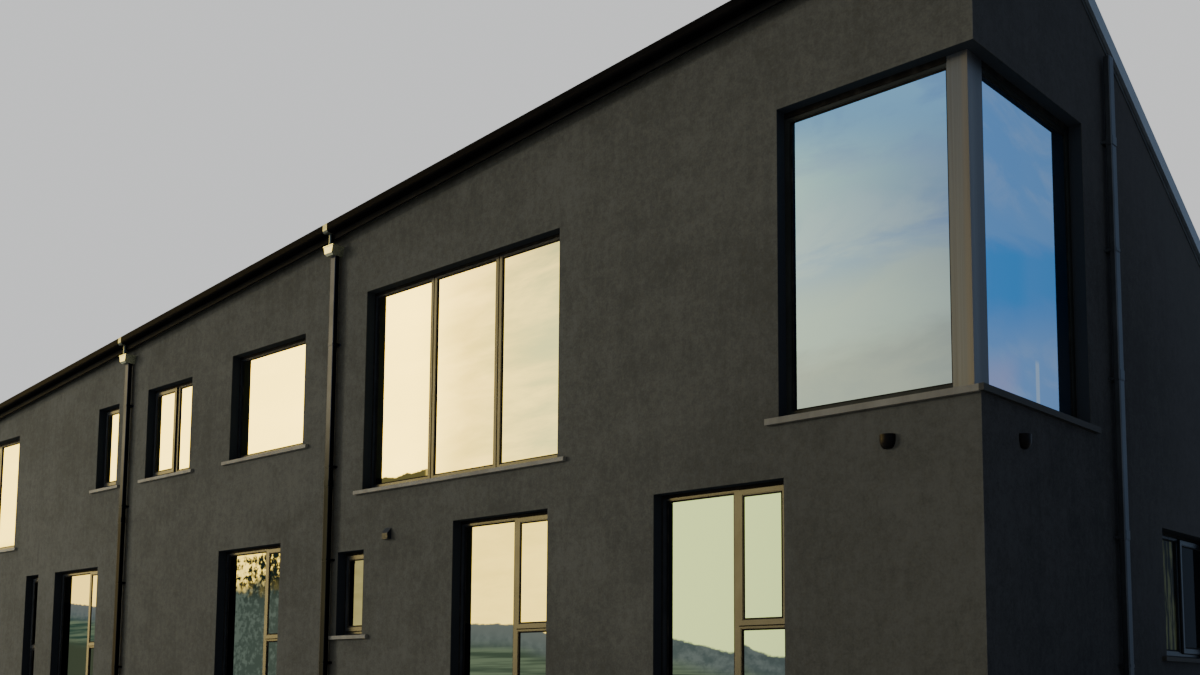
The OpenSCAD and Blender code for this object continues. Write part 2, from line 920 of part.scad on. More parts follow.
// A wall light that shines upwards: half a bowl against the wall, open at the top
module wall_light() {
    translate([0, 0, light_z])
        difference() {
            rotate_extrude($fn = 64) polygon(bowl_outline);
            translate([0, 0, -bowl_deep]) cylinder(h = bowl_deep + 1, r = bowl_r - bowl_wall, $fn = 64);
            translate([-bowl_r - 1, 0, -bowl_h - 1]) cube([2 * bowl_r + 2, bowl_r + 1, bowl_h + 2]);
        }
}

module wall_lights() {
    color("#2b2926") {
        at_front(light_s) wall_light();
        at_gable(light_v) wall_light();
    }
}

vent_s = 7770;
vent_z = 2400;
vent_w = 110;
vent_d = 60;
vent_h = 140;
vent_lip = 70;

// A vent cowl with a sloping top
module wall_vent() {
    color("#55534f")
        at_front(vent_s)
            translate([-vent_w / 2, 0, vent_z])
                rotate([90, 0, 90])
                    linear_extrude(vent_w)
                        polygon([[0, 0], [-vent_d, 0], [-vent_d, vent_lip], [0, vent_h]]);
}

front_wall_ground_piers();
front_wall_ground_panels();
front_wall_upper_piers();
front_wall_upper_panels();
right_gable_wall();
left_party_wall();
back_wall();
ground_floor();
first_floor();
roof_front_slope();
roof_back_slope();
ridge_capping();
right_verge();
left_verge();
front_fascia();
back_fascia();
front_gutter();
back_gutter();
corner_post();
corner_window_frames();
corner_window_glass();
corner_window_sill();
picture_window_frames();
picture_window_glass();
small_upper_frames();
small_upper_glass();
ground_window_frames();
ground_window_glass();
gable_window_frame();
gable_window_glass();
back_window_frames();
back_window_glass();
opening_sashes();
front_window_sills();
gable_window_sill();
back_window_sills();
gutter_outlets();
hopper_heads();
middle_downpipe();
left_downpipe();
end_downpipe();
gable_downpipe();
back_downpipe();
wall_lights();
wall_vent();
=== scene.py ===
# %% [markdown]
# # The near end of a modern rendered house range
#
# The building is a long two-storey range in charcoal render. A window wraps its front corner, a
# skewed roof makes the gutter fall to the left, and dark rainwater goods hang on its faces. The
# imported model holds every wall, slope, frame and pipe at its real size, in metres. This lesson
# gives each part its finish and adds the small pieces that a builder fixes last. The model comes
# in as a frame that nothing below moves or changes.

# %% Load the frame
import math

import bpy
import numpy as np
from mathutils import Matrix, Vector


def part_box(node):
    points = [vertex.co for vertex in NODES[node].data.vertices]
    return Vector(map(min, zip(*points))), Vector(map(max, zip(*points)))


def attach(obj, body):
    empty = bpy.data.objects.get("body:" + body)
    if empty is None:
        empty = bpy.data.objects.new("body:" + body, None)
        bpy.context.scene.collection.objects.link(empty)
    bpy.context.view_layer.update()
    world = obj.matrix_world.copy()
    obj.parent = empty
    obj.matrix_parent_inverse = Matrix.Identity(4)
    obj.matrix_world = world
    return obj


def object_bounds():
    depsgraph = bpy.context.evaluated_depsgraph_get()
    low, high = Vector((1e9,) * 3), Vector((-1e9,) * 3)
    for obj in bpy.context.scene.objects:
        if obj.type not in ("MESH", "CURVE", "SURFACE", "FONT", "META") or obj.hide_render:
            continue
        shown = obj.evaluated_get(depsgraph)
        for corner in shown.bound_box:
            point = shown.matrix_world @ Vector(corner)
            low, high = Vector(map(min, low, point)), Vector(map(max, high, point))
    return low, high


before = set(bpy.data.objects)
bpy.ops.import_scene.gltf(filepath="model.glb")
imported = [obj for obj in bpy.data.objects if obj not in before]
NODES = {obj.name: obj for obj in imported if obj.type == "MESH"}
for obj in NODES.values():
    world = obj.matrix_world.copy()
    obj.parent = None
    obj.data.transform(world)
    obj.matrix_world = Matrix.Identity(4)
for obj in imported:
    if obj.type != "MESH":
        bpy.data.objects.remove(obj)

scene = bpy.context.scene
cad_box = [list(corner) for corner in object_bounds()]
# Half the length and half the depth of the walls
HALF_L = -NODES["left_party_wall"].bound_box[0][0]
HALF_W = NODES["back_wall"].bound_box[6][1]
print(len(NODES), "parts, from", cad_box[0], "to", cad_box[1])

# %% [markdown]
# ## Boxes of the separate solids
#
# A part such as the ground floor frames holds one solid for each window, and the pieces below are
# placed from those solids. Two faces belong to the same solid if a chain of shared corners joins
# them. Each corner gets a number, and every face passes its lowest number on to its corners until
# nothing changes. That is quicker in numpy than walking from face to face, because each pass
# handles all the faces together.

# %% Find the solids of a part
PLACES_PER_METRE = 1e4


def solids(node):
    """Lowest and highest corners of the separate solids of a part, as an (n, 2, 3) array.

    Corners at the same place, to a tenth of a millimetre, count as one corner.
    """
    mesh = NODES[node].data
    co = np.empty(len(mesh.vertices) * 3, np.float32)
    mesh.vertices.foreach_get("co", co)
    co = co.reshape(-1, 3).astype(float)
    mesh.calc_loop_triangles()
    tri = np.empty(len(mesh.loop_triangles) * 3, np.int32)
    mesh.loop_triangles.foreach_get("vertices", tri)
    steps = np.round(co * PLACES_PER_METRE).astype(np.int64)
    places, number = np.unique(steps, axis=0, return_inverse=True)
    tri = number.ravel()[tri].reshape(-1, 3)
    label = np.arange(len(places))
    while True:
        lowest = label[tri].min(axis=1)
        new = label.copy()
        np.minimum.at(new, tri.ravel(), np.repeat(lowest, 3))
        new = new[new]
        if (new == label).all():
            break
        label = new
    spots = places / PLACES_PER_METRE
    groups = [spots[label == k] for k in np.unique(label)]
    return np.array([[group.min(axis=0), group.max(axis=0)] for group in groups])


for part in ("ground_window_frames", "front_window_sills", "hopper_heads"):
    print(part, len(solids(part)), "solids")

# %% [markdown]
# ## The camera
#
# The photograph was taken from near the ground, about eleven metres from the corner, with the
# film plane kept almost upright so that the walls stay upright in the picture. A camera does
# that with a rising lens, which Blender calls shift. The lens, the place and the turn were worked
# out from the straight lines of the house, in a picture 1200 pixels wide and 675 high.

# %% Set the camera
PHOTO_WIDTH = 1200
SENSOR_MM = 36.0
FOCAL_PX = 1306.82
RISE_PX = 222.82
FARTHEST_SEEN = 500
CAMERA_AT = Vector((16.6738, -13.7977, 0.5272))
YAW, PITCH, ROLL = math.radians(-42.9554), math.radians(5.9083), math.radians(0.4243)

forward = Vector((math.sin(YAW) * math.cos(PITCH), math.cos(YAW) * math.cos(PITCH), math.sin(PITCH)))
level = Vector((math.cos(YAW), -math.sin(YAW), 0))
upright = level.cross(forward)
picture_right = math.cos(ROLL) * level + math.sin(ROLL) * upright
picture_up = -math.sin(ROLL) * level + math.cos(ROLL) * upright

lens = bpy.data.cameras.new("camera")
lens.sensor_width = SENSOR_MM
lens.lens = FOCAL_PX * SENSOR_MM / PHOTO_WIDTH
lens.shift_y = RISE_PX / PHOTO_WIDTH
lens.clip_end = FARTHEST_SEEN
camera = bpy.data.objects.new("camera", lens)
scene.collection.objects.link(camera)
camera.matrix_world = Matrix((picture_right, picture_up, -forward)).transposed().to_4x4()
camera.location = CAMERA_AT
scene.camera = camera
print("lens %.1f mm, rise %.3f" % (lens.lens, lens.shift_y))

# %% [markdown]
# ## Shader maths written as sums
#
# A finish is a chain of nodes, and most of the chain is arithmetic: a mask times a strength, one
# less another. Drawing each Math node by hand hides the idea, so a small class stands for an
# output socket and turns + - * and / into Math nodes. Colours and vectors can't go through a
# Math node, because it turns them grey, so they are mixed by a node made for them.


# %% Wires
def math_method(operation, flipped=False):
    """A method of Wire that adds one Math node. Flipped, the two values change places."""

    def method(self, other=0.0):
        first, second = (other, self) if flipped else (self, other)
        return self.finish.add("ShaderNodeMath", {"operation": operation}, {0: first, 1: second})

    return method


class Wire:
    """An output socket. Sums, differences, products and quotients of wires add Math nodes."""

    def __init__(self, finish, socket):
        self.finish = finish
        self.socket = socket

    __add__ = math_method("ADD")
    __radd__ = math_method("ADD", flipped=True)
    __sub__ = math_method("SUBTRACT")
    __rsub__ = math_method("SUBTRACT", flipped=True)
    __mul__ = math_method("MULTIPLY")
    __rmul__ = math_method("MULTIPLY", flipped=True)
    __truediv__ = math_method("DIVIDE")
    __rtruediv__ = math_method("DIVIDE", flipped=True)
    __abs__ = math_method("ABSOLUTE")


print("wires add, subtract, multiply and divide")


# %% Finishes
class Finish:
    """A material or a world under construction. add() makes any node and returns a Wire."""

    def __init__(self, block):
        self.block = block
        block.use_nodes = True
        self.tree = block.node_tree
        self.tree.nodes.clear()

    def add(self, kind, settings=None, sockets=None, out=0):
        """A node of one type: first its settings, then the values or links of its sockets."""
        node = self.tree.nodes.new(kind)
        for name, value in (settings or {}).items():
            setattr(node, name, value)
        for name, value in (sockets or {}).items():
            self.feed(self.find(node.inputs, name), value)
        return Wire(self, self.find(node.outputs, out)) if len(node.outputs) else None

    @staticmethod
    def find(group, name):
        """A socket by its number, its identifier or its name."""
        if isinstance(name, int):
            return group[name]
        for socket in group:
            if socket.identifier == name and socket.enabled:
                return socket
        return group[name]

    def feed(self, socket, value):
        """Links a wire to a socket, or sets the socket to a value."""
        if isinstance(value, Wire):
            self.tree.links.new(value.socket, socket)
        elif isinstance(value, (tuple, list)) and socket.type == "RGBA" and len(value) == 3:
            socket.default_value = (*value, 1)
        else:
            socket.default_value = value

    def place(self):
        """Object coordinates, which are metres in the frame of the house."""
        return self.add("ShaderNodeTexCoord", out="Object")

    def parts(self, vector):
        """The x, y and z wires of a vector."""
        node = self.add("ShaderNodeSeparateXYZ", sockets={0: vector}).socket.node
        return [Wire(self, node.outputs[k]) for k in range(3)]

    def facing(self):
        """The direction in which the surface looks, as x, y and z wires."""
        return self.parts(self.add("ShaderNodeNewGeometry", out="Normal"))

    def stretch(self, vector, scale, turn=(0, 0, 0)):
        sockets = {0: vector, "Scale": scale, "Rotation": turn}
        return self.add("ShaderNodeMapping", sockets=sockets)

    def noise(self, vector, scale, detail=3.0, rough=0.55, warp=0.0):
        sockets = {"Vector": vector, "Scale": scale, "Detail": detail, "Roughness": rough, "Distortion": warp}
        return self.add("ShaderNodeTexNoise", sockets=sockets)

    def step(self, value, low, high, to_low=0.0, to_high=1.0):
        """A smooth step up: to_low below low, to_high above high."""
        sockets = {"Value": value, "From Min": low, "From Max": high, "To Min": to_low, "To Max": to_high}
        return self.add("ShaderNodeMapRange", {"interpolation_type": "SMOOTHSTEP"}, sockets)

    def fall(self, value, low, high):
        """A smooth step down: 1 below low, 0 above high."""
        return self.step(value, low, high, 1.0, 0.0)

    def span(self, value, rise, fall):
        """1 between two places and 0 beyond them. Each place is the pair of ends of its step."""
        return self.step(value, *rise) * self.fall(value, *fall)

    def blend(self, share, a, b, way="MIX"):
        """Colour a where share is 0 and b where it is 1."""
        settings = {"data_type": "RGBA", "blend_type": way, "clamp_factor": True}
        sockets = {"Factor_Float": share, "A_Color": a, "B_Color": b}
        return self.add("ShaderNodeMix", settings, sockets, out="Result_Color")

    def layers(self, colour, *over):
        """A colour with others laid over it in turn, each as a pair: its share and the colour."""
        for share, next_colour in over:
            colour = self.blend(share, colour, next_colour)
        return colour

    def bump(self, height, strength, distance):
        sockets = {"Height": height, "Strength": strength, "Distance": distance}
        return self.add("ShaderNodeBump", sockets=sockets)

    def surface(self, **sockets):
        """Ends the chain in a Principled shader and returns the material."""
        named = {name.replace("_", " "): value for name, value in sockets.items()}
        shader = self.add("ShaderNodeBsdfPrincipled", sockets=named)
        self.add("ShaderNodeOutputMaterial", sockets={"Surface": shader})
        return self.block


def new_finish(name):
    """A new material as a Finish, and its object coordinates."""
    f = Finish(bpy.data.materials.new(name))
    return f, f.place()


print("finishes can be made")

# %% [markdown]
# ## Charcoal render
#
# The walls carry a through-coloured render, sprayed on and rubbed up with a float. From a few
# metres it is a flat charcoal with soft clouds where the float stayed longer, faint upright
# bands where one lift of the scaffold met the next, and a sand grain that only shows close by.
# An image of a wall would repeat and blur, so noises of several sizes make all of these. The gable
# has painted shade, a darker and cooler copy of the mix, with painted light that pales it far back
# and high up. The front has painted shade towards the corner, most of it low down. The openings
# carry painted shade, a darker tone behind the faces of the walls.

# %% Make the render
# Depths behind the wall faces where the painted shade of the openings starts and where it is full
RECESS_SHADE_STARTS, RECESS_SHADE_FULL = 0.003, 0.008
SPLASH_TOP = 0.45


def render_finish():
    """Two tones, mixed by a sum of noises from clouds to sand. Another sum of them is the height.

    The front has painted shade towards the right, and the gable painted shade, cooler, with painted
    light paler far back. Painted shade shows wherever a point lies behind the faces of the walls.
    """
    f, here = new_finish("charcoal_render")
    x, y, z = f.parts(here)
    clouds = f.noise(here, 0.55, 4.0, 0.6)
    patches = f.noise(f.stretch(here, (1.6, 1.6, 2.6)), 1.6, 5.0, 0.62, 0.4)
    bands = f.noise(f.stretch(here, (3.2, 3.2, 0.18)), 1.0, 3.0, 0.5)
    float_marks = f.noise(here, 14.0, 4.0, 0.6, 0.3)
    pits = f.noise(here, 46.0, 3.0, 0.6)
    sand = f.noise(here, 420.0, 2.0, 0.5)
    strokes = f.noise(f.stretch(here, (11.0, 11.0, 2.4)), 1.0, 4.0, 0.65)
    tone = (clouds * 0.4 + patches * 0.3 + bands * 0.15 + strokes * 0.25 - 0.55) * 2.1 + 0.5
    tone = tone + (float_marks - 0.5) * 0.85 + (pits - 0.5) * 0.85 + (sand - 0.5) * 0.18
    tone = f.step(tone, 0.1, 0.9)
    warm = f.blend(tone, (0.0440, 0.0455, 0.0402), (0.0720, 0.0742, 0.0668))
    # Painted shade: the front darkens towards the corner, most of all low down.
    front_painted_shade = f.step(x, 7.5, 10.5) * (0.08 + f.fall(z, 2.5, 5.0) * 0.24)
    warm = f.blend(front_painted_shade, warm, (0.028, 0.028, 0.025))
    # Painted shade: the gable gets a darker, cooler copy of the mix.
    gable_painted_shade = f.blend(tone, (0.024, 0.0265, 0.031), (0.041, 0.045, 0.0525))
    # Painted light: the gable pales far back and high up.
    gable_painted_light = f.step(y, -2.0, 2.5) * 0.5 + f.step(z, 3.5, 7.0) * 0.25
    gable_painted_shade = f.blend(gable_painted_light, gable_painted_shade, (0.080, 0.088, 0.103))
    colour = f.blend(f.step(x, HALF_L - 0.002, HALF_L - 0.001), warm, gable_painted_shade)
    splash = f.fall(z, 0.0, SPLASH_TOP) * f.step(f.noise(here, 6.0, 4.0), 0.35, 0.7)
    colour = f.blend(splash * 0.35, colour, (0.10, 0.095, 0.085))
    # Painted shade in the openings: darker wherever a point lies behind the faces of the walls.
    recess_painted_shade = f.fall(abs(y), HALF_W - RECESS_SHADE_FULL, HALF_W - RECESS_SHADE_STARTS)
    recess_painted_shade = recess_painted_shade * f.fall(abs(x), HALF_L - RECESS_SHADE_FULL, HALF_L - RECESS_SHADE_STARTS)
    colour = f.blend(recess_painted_shade, colour, (0.022, 0.0265, 0.033))
    height = float_marks * 0.0016 + pits * 0.0006 + sand * 0.0009 + patches * 0.003
    rough = 0.88 + (sand - 0.5) * 0.1
    return f.surface(Base_Color=colour, Roughness=rough, Normal=f.bump(height, 0.9, 1.0),
                     Specular_IOR_Level=0.08)


charcoal_render = render_finish()
print("render made")

# %% [markdown]
# ## Powder coat, folded sheet and cast metal
#
# Frames, gutters, pipes and trims are metal under a satin paint. Light slides along them, so what
# matters is the gloss and its small faults: an orange-peel ripple in the coat, a film of dust that
# dulls the upper faces, and rain marks down the upright ones. Some pipes are darker towards the
# ground, and faces that look to the right get painted shade. One function makes all the coats from
# a table. The corner window's frames are a darker, duller copy of the frame coat: painted shade for
# the deeper shade they stand in.

# %% Make the coated metals
EDGE_TINT = (0.45, 0.45, 0.45)
# Colour that some pipes darken to towards the ground
LOW_DARK_COLOUR = (0.003, 0.0045, 0.008)
# Colour of the painted shade on faces that look to the right
SHADE = (0.003, 0.0035, 0.004)
DUST = (0.23, 0.215, 0.19)
# The key shade is the share of painted shade on the faces that look to the right.
COATS = {
    "frame": dict(colour=(0.041, 0.048, 0.060), rough=0.22, dust=0.06, metal=0.45, streak=0.1, shade=0.8),
    # A darker, duller copy of the frame coat: painted shade for the corner window
    "painted_shade_corner_frame": dict(colour=(0.024, 0.028, 0.028), rough=0.3, metal=0.05, streak=0.1, gloss=0.05,
                         shade=0.5),
    "gutter": dict(colour=(0.003, 0.003, 0.0035), rough=0.65, dust=0.03, streak=0.1, gloss=0.02),
    "pipe": dict(colour=(0.041, 0.050, 0.092), rough=0.3, dust=0.08, metal=0.8, gloss=0.12,
                 low_darkening=(2.9, 4.5, 0.97), shade=0.85),
    "gable_pipe": dict(colour=(0.060, 0.070, 0.084), rough=0.3, dust=0.08, metal=0.6, streak=0.3,
                       low_darkening=(0.8, 3.4, 0.5)),
    "fascia": dict(colour=(0.0075, 0.008, 0.0085), rough=0.55, dust=0.04, gloss=0.02),
    "verge": dict(colour=(0.13, 0.16, 0.2), rough=0.3, dust=0.2),
    "hopper": dict(colour=(0.64, 0.67, 0.48), rough=0.25, metal=0.9),
    "outlet": dict(colour=(0.24, 0.26, 0.22), rough=0.3, metal=0.9, shade=0.6),
    "vent": dict(colour=(0.035, 0.042, 0.055), rough=0.45, metal=0.5),
    "fitting": dict(colour=(0.0045, 0.004, 0.004), rough=0.42, streak=0.1, gloss=0.12),
}


def coated_metal(name, colour, rough, dust=0.05, metal=0.0, streak=0.15, gloss=0.5, low_darkening=None, shade=0.0):
    """Satin coated metal: a base colour, rain streaks along z, dust on what faces up, a ripple.

    The values of low_darkening are the height where it is full, the height where it ends and its share.
    The share shade is painted shade, laid on the faces that look to the right, away from the warm light.
    """
    f, here = new_finish(name)
    looks_right, _, looks_up = f.facing()
    streaks = f.noise(f.stretch(here, (38.0, 38.0, 0.7)), 1.0, 4.0, 0.6)
    blotch = f.noise(here, 2.3, 4.0, 0.6)
    ripple = f.noise(here, 320.0, 2.0)
    lighter = tuple(min(1.0, 1.5 * c + 0.015) for c in colour)
    darker = tuple(0.7 * c for c in colour)
    body = f.blend(f.step(blotch, 0.3, 0.7), darker, colour)
    body = f.blend(f.step(streaks, 0.55, 0.8) * streak, body, lighter)
    if low_darkening:
        full, end, share = low_darkening
        # Darker towards the ground, by height
        body = f.blend(f.step(f.parts(here)[2], full, end, share, 0.0), body, LOW_DARK_COLOUR)
    if shade:
        # Painted shade on the faces that look to the right
        body = f.blend(f.step(looks_right, 0.3, 0.7) * shade, body, SHADE)
    film = (f.step(looks_up, 0.25, 0.95) * 0.8 + f.step(blotch, 0.5, 0.8) * 0.2) * dust
    body = f.blend(film, body, DUST)
    dullness = rough + film * 0.35 + (blotch - 0.5) * 0.12
    normal = f.bump(ripple * 0.00012 + blotch * 0.0006, 1.0, 1.0)
    return f.surface(Base_Color=body, Roughness=dullness, Metallic=metal, Normal=normal,
                     Specular_IOR_Level=gloss, Specular_Tint=EDGE_TINT)


coats = {name: coated_metal(name + "_coat", **values) for name, values in COATS.items()}
print(len(coats), "coats made")

# %% [markdown]
# ## The corner post and the sills
#
# The post at the corner is clad in brushed sheet. Brushing leaves fine upright scratches and the
# sheet bulges a little, so one narrow and one wide noise are drawn out along z. Its front has a
# painted warm sheen towards the corner. Its side has painted shade along the fold at the corner and
# again away from it. The sills are cast stone with stain and fine pores, which two noises give. The
# corner window's sill has painted shade, a tone darker than the others, and more painted shade round
# the corner, where the gable is in shade.

# %% Make the post cladding and the sills
# Ends of a change, in a pier or between the storeys
CORNER_PIER = (9.2, 9.3)
BETWEEN_STOREYS = (2.9, 3.0)


def post_finish():
    """Narrow and wide upright noise, a painted warm sheen at the right edge, and painted shade on the side.
    """
    f, here = new_finish("post_cladding")
    x, y, _ = f.parts(here)
    looks_right = f.step(f.facing()[0], 0.3, 0.7)
    brushed = f.noise(f.stretch(here, (90.0, 90.0, 0.5)), 1.0, 3.0, 0.6)
    wide = f.noise(f.stretch(here, (14.0, 14.0, 0.25)), 1.0, 2.0, 0.5)
    streaks = f.step(brushed * 0.5 + wide * 0.5, 0.25, 0.75)
    # Painted warm sheen on the front towards the corner
    edge_painted_sheen = f.step(x, HALF_L - 0.20, HALF_L - 0.16)
    # Painted shade on the side, away from the corner and along the crease at it
    side_painted_shade = f.step(y, 0.16 - HALF_W, 0.34 - HALF_W)
    crease_painted_shade = f.fall(y, 0.030 - HALF_W, 0.055 - HALF_W)
    colour = f.layers(f.blend(streaks, (0.032, 0.040, 0.053), (0.068, 0.083, 0.108)),
                      (edge_painted_sheen * 0.35, (0.085, 0.070, 0.046)),
                      (looks_right * side_painted_shade * 0.75, (0.016, 0.020, 0.026)),
                      (looks_right * crease_painted_shade * 0.7, (0.012, 0.018, 0.027)))
    normal = f.bump(brushed * 0.0003 + wide * 0.0012, 0.8, 1.0)
    return f.surface(Base_Color=colour, Roughness=0.34 + brushed * 0.1, Metallic=0.35, Normal=normal)


def sill_finish():
    """A stain noise in the colour and fine pores in the bump. Painted shade darkens the corner window's sill,
    and more what stands past the gable.
    """
    f, here = new_finish("cast_sill")
    x, _, z = f.parts(here)
    stain = f.noise(f.stretch(here, (5.0, 5.0, 1.5)), 1.0, 5.0, 0.6)
    pores = f.noise(here, 260.0, 2.0)
    colour = f.blend(f.step(stain, 0.3, 0.7), (0.132, 0.130, 0.116), (0.186, 0.184, 0.162))
    # Painted shade on the corner window's sill, and more on what stands out past the gable face
    corner_sill_painted_shade = f.step(x, *CORNER_PIER) * f.step(z, *BETWEEN_STOREYS)
    gable_sill_painted_shade = f.step(x, HALF_L - 0.002, HALF_L + 0.002)
    colour = f.layers(colour, (corner_sill_painted_shade * 0.32, (0.045, 0.043, 0.034)),
                      (gable_sill_painted_shade * 0.85, (0.012, 0.014, 0.017)))
    return f.surface(Base_Color=colour, Roughness=0.6, Normal=f.bump(pores, 0.3, 0.0006),
                     Specular_IOR_Level=0.08)


post_cladding, cast_sill = post_finish(), sill_finish()
print("post cladding and sills made")

# %% [markdown]
# ## Roof sheet
#
# The slopes are covered in dark folded sheet, laid in long trays. A tray is never quite flat: it
# dishes between its seams, which roofers call oil canning, and goes blotchy as its patina grows.
# The dishing is a slow noise in the bump, and the patina a noise in the colour and the gloss.


# %% Make the roof sheet
def roof_finish():
    """Dark roof sheet: patina blotches in colour and gloss, slow waves in the bump."""
    f, here = new_finish("roof_sheet")
    waves = f.noise(here, 1.3, 2.0, 0.5)
    patina = f.noise(here, 3.5, 6.0, 0.65, 0.5)
    speck = f.noise(here, 60.0, 3.0)
    colour = f.blend(f.step(patina, 0.3, 0.75), (0.030, 0.034, 0.038), (0.062, 0.068, 0.074))
    colour = f.blend(f.step(speck, 0.62, 0.8) * 0.3, colour, (0.12, 0.12, 0.115))
    normal = f.bump(waves * 0.012 + speck * 0.0003, 0.8, 1.0)
    rough = 0.38 + (patina - 0.5) * 0.25
    return f.surface(Base_Color=colour, Roughness=rough, Metallic=0.35, Normal=normal)


roof_sheet = roof_finish()
print("roof sheet made")

# %% [markdown]
# ## Window glass that holds the sky
#
# Sealed units with a solar coating act as mirrors by day. In the photograph they show the sky
# at dusk: cream cloud on the front, blue-grey in the big corner pane, strong blue on the gable,
# and a line of hills low in the ground floor panes. A plain studio has no such sky, so the glass
# is a tinted mirror whose tint is a pattern worked out from the place on the pane. It stays put
# from every side, and the gloss comes from the shader.
# The tints are painted reflections of that sky and the land under it.


# %% The shader of a pane and its clouds
def glass(f, tint):
    """The shader of a coated pane: a mirror with the given tint, hardly rough, faintly wavy.

    EDGE_TINT keeps the tint at grazing angles, where a bare metal would turn white.
    """
    wave = f.noise(f.place(), 0.45, 0.0)
    return f.surface(Base_Color=tint, Metallic=1.0, Roughness=0.03, Normal=f.bump(wave, 0.1, 0.0015),
                     Specular_Tint=EDGE_TINT)


def cloud_cover(f, here):
    """Cloud cover from 0 to 1: long low drifts of noise, wider than they are high."""
    drift = f.noise(f.stretch(here, (0.42, 0.42, 1.5), (0.0, 0.12, 0.0)), 1.0, 5.0, 0.55, 0.5)
    wisps = f.noise(f.stretch(here, (0.9, 0.9, 5.5), (0.0, 0.2, 0.0)), 1.0, 4.0, 0.6, 0.3)
    return f.step(drift * 0.7 + wisps * 0.3, 0.34, 0.66)


print("pane shader ready")

# %% [markdown]
# ## The skyline in the ground floor panes
#
# The hills show low in the ground floor panes, as one line that runs through all of them. It is
# a few points, each a place along the front and a height, which a colour ramp joins with straight
# lines. A ramp holds values up to one, so each height is a share of one above them all.

# %% Draw the skyline
SKYLINE = ((-7.0, 2.75), (-5.4, 2.75), (-5.2, 2.03), (-4.73, 2.0), (-3.7, 1.9), (-2.0, 1.6), (2.5, 1.2),
           (5.3, 1.34), (6.1, 1.305), (6.6, 1.2), (7.0, 1.15), (8.2, 1.11), (8.4, 1.096), (8.61, 1.054),
           (8.8, 1.01), (8.98, 0.97), (9.16, 0.93), (9.24, 1.03), (9.29, 1.02), (9.36, 0.963),
           (9.56, 0.913), (9.9, 0.875))
RAMP_TOP = 3.0


def skyline(f, x):
    """Height of the mirrored hills at a place along the front: straight lines between the points."""
    first, last = SKYLINE[0][0], SKYLINE[-1][0]
    hills = f.add("ShaderNodeValToRGB", sockets={0: (x - first) / (last - first)})
    ramp = hills.socket.node.color_ramp
    while len(ramp.elements) < len(SKYLINE):
        ramp.elements.new(0.5)
    for element, (at, z) in zip(ramp.elements, SKYLINE):
        element.position = (at - first) / (last - first)
        element.color = (z / RAMP_TOP, z / RAMP_TOP, z / RAMP_TOP, 1)
    return hills * RAMP_TOP


print("skyline of", len(SKYLINE), "points")

# %% [markdown]
# ## The front panes
#
# Upstairs the panes mirror cream cloud, with a few bushes low in the picture window. Downstairs
# they mirror the same sky over hills and level fields, and the third window from the right mirrors
# a tree. Each of these is a colour, and a mask from the place on the front says where it shows.
# The masks change at the piers between windows, so no pane shows the change.

# %% Make the front panes
FIRST_PIER = (7.0, 8.0)
SMALL_WINDOW = ((2.5, 2.6), (4.0, 4.1))
TREE_WINDOW = ((-0.2, 0.0), (1.9, 2.1))
FOURTH_PIER = (-3.0, -2.5)
NARROW_PIER = (-5.3, -5.2)


def mirrored_sky(f, here, cloud, downstairs):
    """Cream cloud, brightest to the left, blue-grey in the right-hand light of the picture window."""
    x, _, z = f.parts(here)
    upstairs = f.step(z, 2.9, 3.3)
    return f.layers(
        f.blend(cloud, (0.386, 0.385, 0.234), (0.638, 0.607, 0.371)),
        (f.fall(x, 4.2, 5.4) * upstairs * 0.75, (1.0, 0.98, 0.50)),
        (f.step(x, 5.1, 6.7) * upstairs * (1.0 - cloud * 0.5), (0.193, 0.266, 0.309)),
        (downstairs * 0.7, (0.315, 0.325, 0.190)),
        (f.step(x, *FIRST_PIER) * downstairs, (0.152, 0.252, 0.289)),
        (f.fall(x, *FOURTH_PIER) * downstairs, (0.385, 0.372, 0.240)))


def hills_and_fields(f, here, trees, depth):
    """Wooded hills, and striped fields deeper below the skyline, warmer in the windows to the left."""
    x = f.parts(here)[0]
    to_left = f.fall(x, *FOURTH_PIER)
    fields = f.noise(f.stretch(here, (0.5, 0.5, 16.0)), 1.0, 3.0, 0.6)
    green = f.blend(f.step(fields, 0.4, 0.62), (0.0074, 0.0156, 0.0301), (0.0186, 0.035, 0.0648))
    haze = f.fall(x, *FIRST_PIER) * f.fall(depth, 0.0, 0.3)
    land = f.layers(
        f.blend(f.step(trees, 0.35, 0.65), (0.0104, 0.0198, 0.0565), (0.0186, 0.0321, 0.0894)),
        (f.step(depth, 0.14, 0.34), green),
        (haze, (0.0186, 0.0304, 0.0825)),
        (to_left * f.step(depth, 0.5, 0.75), (0.0098, 0.0158, 0.0261)))
    return f.blend(to_left * 0.75, land, f.blend(1.0, land, (1.75, 1.5, 1.4), "MULTIPLY"))


def tree(f, here):
    """Dark leaves against bright gaps above and misty ones below: two noises, cut off at a level."""
    x, _, z = f.parts(here)
    leaves = f.noise(f.stretch(here, (4.5, 4.5, 5.5)), 2.2, 6.0, 0.66)
    clumps = f.noise(here, 2.6, 4.0, 0.6) - 0.5
    gaps = f.blend(f.step(z + clumps * 0.9, 1.85, 2.25), (0.0178, 0.0305, 0.070), (0.39, 0.388, 0.206))
    crown = f.step(x - z * 0.5, -0.6, 0.3) * 0.12 - f.fall(z, 1.5, 1.9) * 0.05
    thick = leaves + clumps * 0.35 + crown
    strength = 0.5 + f.step(z, 1.7, 2.1) * 0.5
    return f.blend(f.step(thick, 0.44, 0.60) * strength, gaps, (0.0039, 0.0063, 0.0111))


